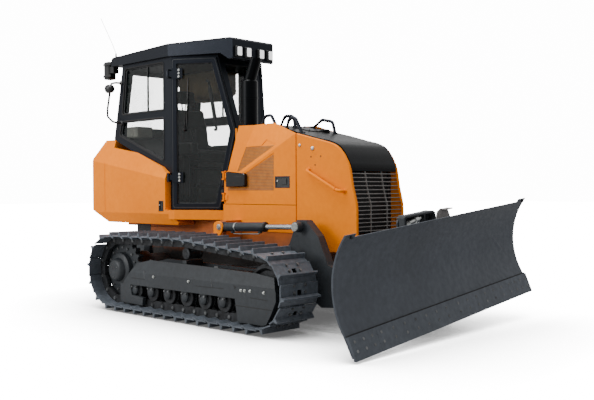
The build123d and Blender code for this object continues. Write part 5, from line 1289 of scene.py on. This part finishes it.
def cushion(name, outline, half, welt, cap_mm):
    """A stuffed cushion: an (x, z) outline across the seat, blown up by cloth, with welts pressed in."""
    start = bmesh.new()
    corners = [(x, z, 0.035) for x, z in outline]
    plate(start, rounded_outline(corners, steps=3), "y", -half + 0.008, half - 0.008, edge=0.020)
    bmesh.ops.recalc_face_normals(start, faces=start.faces)
    pad = finished_piece(name, start, seat_weave, "chassis", smooth=True)
    bpy.context.view_layer.objects.active = pad
    remesh = pad.modifiers.new("even", "REMESH")
    remesh.mode, remesh.voxel_size = "VOXEL", VOXEL
    bpy.context.view_layer.update()
    even = bpy.data.meshes.new_from_object(pad.evaluated_get(bpy.context.evaluated_depsgraph_get()))
    pad.modifiers.clear()
    pad.data = even
    before = [v.co.copy() for v in even.vertices]
    cloth = pad.modifiers.new("stuffing", "CLOTH")
    cloth.settings.use_pressure, cloth.settings.uniform_pressure_force = True, 3.0
    cloth.settings.effector_weights.gravity = 0.0
    for step in range(1, SETTLE_FRAMES + 1):
        bpy.context.scene.frame_set(step)
    blown = bpy.data.meshes.new_from_object(pad.evaluated_get(bpy.context.evaluated_depsgraph_get()))
    pad.modifiers.clear()
    bpy.context.scene.frame_set(1)
    for vert, was in zip(blown.vertices, before):
        moved = vert.co - was
        if moved.length > cap_mm * MM:
            vert.co = was + moved.normalized() * cap_mm * MM
    pad.data = blown
    blown.materials.clear()
    blown.materials.append(seat_weave)
    blown.shade_smooth()
    for vert in pad.data.vertices:
        for place, way in welt:
            gap = (vert.co - Vector(place)).dot(Vector(way).normalized())
            if abs(gap) < WELT_HALF and abs(vert.co.y) < half - 0.02:
                vert.co -= vert.normal * WELT_DEPTH * (1 - abs(gap) / WELT_HALF)
    return pad


seat_base = cushion("seat_cushion",
                    [(-1.345, 1.595), (-0.885, 1.585), (-0.875, 1.670), (-0.93, 1.695), (-1.340, 1.690)],
                    0.245, [((-1.08, 0, 1.69), (1, 0, 0))], 10)
cushion("seat_back", [(-1.325, 1.715), (-1.430, 2.180), (-1.345, 2.190), (-1.270, 2.00), (-1.225, 1.715)],
        0.225, [((-1.30, 0, 1.98), (0.2, 0, 1))], 10)
cushion("head_rest", [(-1.455, 2.250), (-1.455, 2.400), (-1.375, 2.400), (-1.360, 2.250)], 0.125, [], 8)
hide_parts("seat")
seat_frame = bmesh.new()
block(seat_frame, (-1.31, -0.20, 1.10), (-0.93, 0.20, 1.30), edge=0.02)
block(seat_frame, (-1.26, -0.17, 1.30), (-0.98, 0.17, 1.50), edge=0.02)
block(seat_frame, (-1.33, -0.22, 1.50), (-0.90, 0.22, 1.585), edge=0.015)
for y in (-0.06, 0.06):
    tube(seat_frame, [((-1.395, y, 2.17), 0), ((-1.412, y, 2.27), 0)], 0.008)
finished_piece("seat_frame", seat_frame, black_moulding, "chassis", smooth=True)

# %% Consoles, levers, heater box and headliner
console, grips, heater = bmesh.new(), bmesh.new(), bmesh.new()
for s in SIDES.values():
    for low_x, high_x, low_z, high_z in ((-1.330, -0.960, 1.10, 1.640), (-1.320, -0.820, 1.640, 1.780)):
        near, far = on_side(s, 0.290, 0.395)
        block(console, (low_x, near, low_z), (high_x, far, high_z), edge=0.018)
    tube(grips, [((-0.870, s * 0.342, 1.775), 0), ((-0.862, s * 0.342, 1.85), 0)], 0.010)
    turned(grips, (-0.862, s * 0.342, 1.82), (-0.850, s * 0.342, 1.935),
           [(0, 0), (0, 0.022), (0.02, 0.026), (0.05, 0.020), (0.085, 0.027), (0.105, 0.024), (0.116, 0.008),
            (0.116, 0)], steps=18)
block(console, (-0.595, -0.148, 1.095), (-0.445, 0.148, 1.560), edge=0.02)
block(console, (-0.580, -0.120, 1.560), (-0.470, 0.120, 1.636), edge=0.02)
for y in (-0.07, 0.07):
    block(grips, (-0.700, y - 0.045, 1.11), (-0.600, y + 0.045, 1.14), edge=0.008)
block(heater, (-1.850, -0.520, 1.860), (-1.640, -0.300, 1.985), edge=0.012)
for index in range(7):
    x = -1.815 + index * 0.026
    block(heater, (x, -0.512, 1.957), (x + 0.012, -0.338, 1.966), edge=0.002)
turned(heater, (-1.735, -0.521, 1.905), (-1.735, -0.527, 1.905),
       [(0, 0), (0, 0.030), (0.006, 0.026), (0.006, 0)], steps=20)
console_piece = finished_piece("arm_consoles", console, black_moulding, "chassis",
                               smooth=True)
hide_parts("consoles")
finished_piece("lever_grips", grips, gloss_moulding, "chassis", smooth=True)
finished_piece("heater_box", heater, grey_moulding, "chassis", smooth=True)
liner_cloth = moulded("liner_cloth", "#6B5D42", 0.9, grain_mm=4.0, depth=0.25)
liner = bmesh.new()
plate(liner, rounded_outline([(-1.800, 2.655, 0), (-1.790, 2.420, 0.08), (-1.690, 2.320, 0.09),
                              (-1.300, 2.310, 0.09), (-1.180, 2.360, 0.04), (-1.090, 2.365, 0),
                              (-1.090, 2.655, 0)]), "y", 0.180, 0.515, edge=0.03)
finished_piece("roof_box", liner, liner_cloth, "chassis", smooth=True)

# %% [markdown]
# ## Hydraulic cylinders
# A cylinder is a ground and plated rod that slides out of a painted tube. Its gland is a thicker black
# collar, and both its ends are eyes on greased pins. Each is turned from one profile about the line between
# its two pins, because that is how the real parts are made, and it leaves no facets on the barrel.

# %% Lift cylinders
def cylinder(barrel, gland, rod, base, eye, reach, radius, rod_radius, neck):
    """Barrel, gland and rod on the line from the base pin to the rod eye's pin."""
    base, eye = Vector(base), Vector(eye)
    length = (eye - base).length
    tube_section = [(neck, 0), (neck, radius * 0.62), (neck + 0.006, radius * 0.90), (neck + 0.016, radius),
                    (reach - 0.030, radius), (reach - 0.030, 0)]
    turned(barrel, base, eye, tube_section, steps=32)
    gland_section = [(reach - 0.034, radius * 0.9), (reach - 0.034, radius * 1.07),
                     (reach - 0.006, radius * 1.07), (reach, radius * 0.95), (reach, rod_radius + 0.002),
                     (reach - 0.010, rod_radius + 0.002)]
    turned(gland, base, eye, gland_section, steps=32)
    turned(rod, base, eye,
           [(reach - 0.2, 0), (reach - 0.2, rod_radius), (length - 0.030, rod_radius), (length - 0.030, 0)],
           steps=28)


def eye_disc(mesh, centre, way, radius, half, edge=0.003):
    """A round lug about a pin."""
    centre, way = Vector(centre), Vector(way)
    turned(mesh, centre - way * half, centre + way * half,
           [(0, 0), (0, radius - edge), (edge, radius), (2 * half - edge, radius), (2 * half, radius - edge),
            (2 * half, 0)], steps=32)


LIFT_Y = 0.633
for side, s in SIDES.items():
    base, eye = Vector((-0.030, s * LIFT_Y, 0.900)), Vector((1.000, s * LIFT_Y, 0.930))
    way = (eye - base).normalized()
    up = Vector((-way.z, 0, way.x))
    barrel, gland, rod, fittings = bmesh.new(), bmesh.new(), bmesh.new(), bmesh.new()
    cylinder(barrel, gland, rod, base, eye, 0.626, 0.044, 0.026, 0.046)
    eye_disc(barrel, base, (0, s, 0), 0.050, 0.030)
    for place in (0.150, 0.540):
        start = base + way * place - up * 0.030
        block(barrel, start - Vector((0.018, 0.014, 0.030)), start + Vector((0.018, 0.014, 0.0)), edge=0.003)
    tube(fittings, [(base + way * 0.150 - up * 0.055, 0), (base + way * 0.175 - up * 0.066, 0.02),
                    (base + way * 0.515 - up * 0.066, 0.02), (base + way * 0.540 - up * 0.055, 0)], 0.0065,
         sides=10)
    turned(fittings, base + way * 0.205, base + way * 0.222,
           [(0, 0.0435), (0, 0.0462), (0.017, 0.0462), (0.017, 0.0435)], steps=32)
    rod_eye, collar = bmesh.new(), bmesh.new()
    eye_disc(rod_eye, eye, (0, s, 0), 0.048, 0.0315)
    finished_piece(f"lift_rod_eye_{side}", rod_eye, frame_enamel, f"lift_rod_{side}",
                   smooth=True)
    cap = eye + Vector((0, s * 0.0320, 0))
    turned(collar, cap, cap + Vector((0, s * 0.012, 0)),
           [(0, 0), (0, 0.040), (0.004, 0.040), (0.007, 0.037), (0.007, 0)], steps=32)
    bolt_row(collar, [cap + Vector((math.cos(a) * 0.026, s * 0.007, math.sin(a) * 0.026))
                      for a in (0.8, 2.4, 3.9, 5.5)], (0, s, 0), 0.009)
    barrel_piece = finished_piece(f"lift_barrel_tube_{side}", barrel, frame_enamel, f"lift_barrel_{side}",
                                  smooth=True)
    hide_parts(f"lift_barrel_{side}")
    finished_piece(f"lift_gland_{side}", gland, black_moulding, f"lift_barrel_{side}",
                   smooth=True)
    finished_piece(f"lift_pipe_{side}", fittings, zinc_plate, f"lift_barrel_{side}",
                   smooth=True)
    rod_piece = finished_piece(f"lift_rod_bar_{side}", rod, rod_chrome, f"lift_rod_{side}",
                               smooth=True)
    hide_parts(f"lift_rod_{side}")
    finished_piece(f"lift_eye_cap_{side}", collar, pin_steel, f"lift_rod_{side}", smooth=True)

# %% [markdown]
# ### Mounts of the lift cylinders
# The base of each lift cylinder sits in a fork that is part of the hull and painted with it, with a bright
# keeper plate over the end of its pin.

# %% Lift mounts and push frame pins
mounts, keepers, frame_pins = bmesh.new(), bmesh.new(), bmesh.new()
for s in SIDES.values():
    cheek = [(-0.112, 0.800, 0.01), (-0.112, 0.935, 0.03), (-0.060, 0.958, 0.03), (0.008, 0.950, 0.045),
             (0.026, 0.900, 0.045), (0.008, 0.850, 0.03), (-0.030, 0.800, 0.01)]
    plate(mounts, rounded_outline(cheek, steps=4), "y", *on_side(s, 0.6665, 0.6825), edge=0.002)
    start = Vector((-0.030, s * 0.682, 0.900))
    turned(keepers, start, start + Vector((0, s * 0.02, 0)),
           [(0, 0), (0, 0.030), (0.005, 0.030), (0.008, 0.020), (0.014, 0.018), (0.014, 0)], steps=28)
    start = Vector((0, s * 0.600, 0.42))
    turned(frame_pins, start, start + Vector((0, s * 0.02, 0)),
           [(0, 0), (0, 0.050), (0.006, 0.050), (0.009, 0.030), (0.012, 0)], steps=28)
finished_piece("lift_mounts", mounts, body_enamel, "chassis", smooth=True)
finished_piece("lift_pin_keepers", keepers, pin_steel, "chassis", smooth=True)
finished_piece("push_frame_pin_caps", frame_pins, zinc_worn, "push_frame", smooth=True)

# %% [markdown]
# ### Angle and tilt cylinders
# They carry the same parts at a smaller size. The angle cylinders lie level from the push frame out to the
# yoke, and the tilt cylinder lies across the yoke and pushes on the blade's back.

# %% Angle cylinders
ANGLE_X, TRUNNION_Z = 1.879, 0.365
YAW_AT_REST, ROLL_AT_REST = 3.66, 4.67
yaw_turn = Matrix.Translation((ANGLE_X, 0, TRUNNION_Z)) @ Matrix.Rotation(math.radians(YAW_AT_REST), 4, "Z")
blade_turn = yaw_turn @ Matrix.Rotation(math.radians(ROLL_AT_REST), 4, "X")
for side, s in SIDES.items():
    base = Vector((1.060, s * 0.445, 0.577))
    eye = yaw_turn @ Vector((0.060, s * 0.470, 0.577 - TRUNNION_Z))
    barrel, gland, rod = bmesh.new(), bmesh.new(), bmesh.new()
    cylinder(barrel, gland, rod, base, eye, 0.560, 0.034, 0.018, 0.034)
    eye_disc(barrel, base, (0, 0, 1), 0.036, 0.0215)
    eye_disc(rod, eye, (0, 0, 1), 0.034, 0.0215)
    barrel_piece = finished_piece(f"angle_barrel_tube_{side}", barrel, frame_enamel, f"angle_barrel_{side}",
                                  smooth=True)
    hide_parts(f"angle_barrel_{side}")
    finished_piece(f"angle_gland_{side}", gland, black_moulding, f"angle_barrel_{side}",
                   smooth=True)
    rod_piece = finished_piece(f"angle_rod_bar_{side}", rod, rod_chrome, f"angle_rod_{side}",
                               smooth=True)
    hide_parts(f"angle_rod_{side}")

barrel, gland, rod = bmesh.new(), bmesh.new(), bmesh.new()
base, eye = yaw_turn @ Vector((0.062, -0.400, 0.395)), yaw_turn @ Vector((0.062, 0.250, 0.395))
pin_way = yaw_turn.to_3x3() @ Vector((1, 0, 0))
cylinder(barrel, gland, rod, base, eye, 0.400, 0.032, 0.018, 0.028)
eye_disc(barrel, base, pin_way, 0.030, 0.0235)
eye_disc(rod, eye, pin_way, 0.030, 0.0235)
barrel_piece = finished_piece("tilt_barrel_tube", barrel, frame_enamel, "tilt_barrel",
                              smooth=True)
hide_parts("tilt_barrel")
finished_piece("tilt_gland", gland, black_moulding, "tilt_barrel", smooth=True)
rod_piece = finished_piece("tilt_rod_bar", rod, rod_chrome, "tilt_rod", smooth=True)
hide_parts("tilt_rod")

# %% [markdown]
# ## Blade
# The mouldboard's cutting edge comes in three lengths held by plough bolts, whose heads sit flush in the
# face. Above it runs the weld that joins edge carrier and mouldboard. A guard on top of the blade's back
# keeps stones off the tilt hoses, with a bent plate beside it. These pieces are laid out square and then
# turned with the blade.

# %% Plough bolts, seams and guards
CHORD_X, TILT_PIN_UP = 0.380, 0.228
EDGE_BACK, EDGE_UP = 0.066, 0.178


def on_section(back, up):
    """A place of the blade's section: back from the face's chord and up from the edge, in metres."""
    return CHORD_X - back, up - TILT_PIN_UP


def laid_on_blade(name, mesh, finish, smooth=False):
    """Finishes a piece that was laid out square to the blade."""
    bmesh.ops.transform(mesh, matrix=blade_turn, verts=mesh.verts)
    return finished_piece(name, mesh, finish, "blade", smooth)


face_out = Vector((EDGE_UP, 0, EDGE_BACK)).normalized()
plough_bolts, weld_line, guards, bent_plate, silver = (bmesh.new() for _ in range(5))
for share in (0.36, 0.74):
    x, z = on_section(EDGE_BACK * share, EDGE_UP * share)
    for y in [0.10 + 0.16 * k for k in range(7)] + [1.180, 1.290, 1.400]:
        for s in SIDES.values():
            start = Vector((x, s * y, z)) - face_out * 0.001
            turned(plough_bolts, start, start + face_out,
                   [(0, 0.013), (0.0022, 0.013), (0.0030, 0.0105), (0.0016, 0.0085), (0.0016, 0)], steps=16)
x, z = on_section(0.0835, 0.1760)
tube(weld_line, [((x + 0.001, -1.453, z), 0), ((x + 0.001, 1.453, z), 0)], 0.0055, sides=8)
laid_on_blade("plough_bolts", plough_bolts, zinc_worn, smooth=True)
laid_on_blade("blade_weld", weld_line, seal_rubber, smooth=True)
plate(guards, rounded_outline([(-0.500, 0.630, 0), (-0.500, 0.690, 0.03), (-0.400, 0.722, 0.05),
                               (-0.020, 0.728, 0.03), (-0.005, 0.630, 0)]), "x", 0.132, 0.150, edge=0.003)
block(guards, (0.132, -0.47, 0.705), (0.215, -0.03, 0.725), edge=0.005)
for y in (-0.49, -0.19, -0.02):
    block(guards, (0.132, y, 0.625), (0.212, y + 0.016, 0.712), edge=0.003)
plate(bent_plate,
      [(0.065, 0.625), (0.090, 0.700), (0.150, 0.722), (0.262, 0.716), (0.300, 0.650), (0.296, 0.625)], "x",
      0.160, 0.172, edge=0.002)
block(bent_plate, (0.162, 0.155, 0.708), (0.225, 0.262, 0.720), edge=0.003)
turned(silver, (0.190, -0.400, 0.655), (0.190, -0.230, 0.680),
       [(0, 0), (0, 0.022), (0.08, 0.022), (0.082, 0.031), (0.13, 0.031), (0.132, 0.018), (0.17, 0.018),
        (0.17, 0)], steps=20)
laid_on_blade("hose_guard", guards, frame_enamel)
laid_on_blade("bent_guard_plate", bent_plate, bar_steel)
laid_on_blade("tilt_hose_fitting", silver, zinc_plate, smooth=True)
ear_holes = bmesh.new()
x, z = on_section(0.034, 0.905)
for s in SIDES.values():
    turned(ear_holes, (x - 0.012, s * 1.385, z - 0.008), (x + 0.0045, s * 1.385, z - 0.008),
           [(0, 0), (0, 0.011), (0.0165, 0.011), (0.0165, 0)], steps=16)
laid_on_blade("ear_hole_plugs", ear_holes, seal_rubber, smooth=True)

# %% [markdown]
# ## Rear body and underside
# The rear body is the fuel tank and cover in one, with a filler cap, lamps and a hinged rear door. Under the
# machine sit the transmission case, the drawbar and belly plates held by large bolts.

# %% Transmission case, drawbar, belly plates
case, case_bolts, belly = bmesh.new(), bmesh.new(), bmesh.new()
plate(case, [(-1.790, 0.470), (-1.860, 0.560), (-1.860, 0.893), (-1.562, 0.893), (-1.562, 0.400),
             (-1.690, 0.400)], "y", -0.385, 0.385, edge=0.02)
for s in SIDES.values():
    turned(case, (-1.700, s * 0.380, 0.620), (-1.700, s * 0.470, 0.620),
           [(0, 0), (0, 0.170), (0.05, 0.160), (0.09, 0.110), (0.09, 0)], steps=36)
bolt_row(case_bolts, [(-1.861, y, z) for y in (-0.30, -0.10, 0.10, 0.30) for z in (0.600, 0.860)], (-1, 0, 0),
         0.024)
for x0, x1 in ((-1.50, -0.82), (-0.78, -0.06), (-0.02, 0.66), (0.70, 1.12)):
    block(belly, (x0, -0.36, 0.328), (x1, 0.36, 0.341), edge=0.004)
    bolt_row(case_bolts, [(x, y, 0.328) for x in (x0 + 0.06, x1 - 0.06) for y in (-0.30, 0.30)], (0, 0, -1),
             0.027)
finished_piece("transmission_case", case, frame_enamel, "chassis", smooth=True)
finished_piece("case_bolts", case_bolts, zinc_worn, "chassis")
finished_piece("belly_plates", belly, frame_enamel, "chassis")
drawbar_pin = bmesh.new()
turned(drawbar_pin, (-1.648, 0, 0.630), (-1.648, 0, 0.880),
       [(0, 0), (0, 0.020), (0.22, 0.020), (0.22, 0.034), (0.25, 0.034), (0.25, 0)], steps=24)
finished_piece("drawbar_pin", drawbar_pin, zinc_worn, "chassis", smooth=True)

# %% Rear door, lamps, filler cap
rear_parts, rear_trim, rear_lenses = bmesh.new(), bmesh.new(), bmesh.new()
block(rear_parts, (-2.384, -0.420, 1.100), (-2.375, 0.420, 1.600), edge=0.004)
for index in range(12):
    z = 1.18 + index * 0.030
    block(rear_trim, (-2.390, -0.330, z), (-2.383, 0.330, z + 0.012), edge=0.002)
for y in (-0.30, 0.30):
    turned(rear_trim, (-2.384, y - 0.05, 1.612), (-2.384, y + 0.05, 1.612),
           [(0, 0), (0, 0.012), (0.1, 0.012), (0.1, 0)], steps=14)
tube(rear_trim,
     [((-2.380, -0.06, 1.135), 0), ((-2.425, -0.06, 1.135), 0.01), ((-2.425, 0.06, 1.135), 0.01),
      ((-2.380, 0.06, 1.135), 0)], 0.007)
for s in SIDES.values():
    inner, outer = on_side(s, 0.470, 0.600)
    block(rear_trim, (-2.388, inner, 1.420), (-2.374, outer, 1.560), edge=0.004)
    block(rear_lenses, (-2.394, inner + 0.012, 1.434), (-2.386, outer - 0.012, 1.546), edge=0.003)
up_back = Vector((-0.210, 0, 0.146)).normalized()
fill_at = Vector((-2.303, -0.35, 1.745))
turned(rear_trim, fill_at - up_back * 0.004, fill_at + up_back * 0.04,
       [(0, 0), (0, 0.065), (0.028, 0.062), (0.040, 0.050), (0.040, 0)], steps=32)
finished_piece("rear_door_plate", rear_parts, body_enamel, "chassis", smooth=True)
finished_piece("rear_fittings", rear_trim, black_moulding, "chassis", smooth=True)
tail_lens = moulded("tail_lens", "#5A0C08", 0.2, depth=0.02)
finished_piece("tail_lamps", rear_lenses, tail_lens, "chassis")
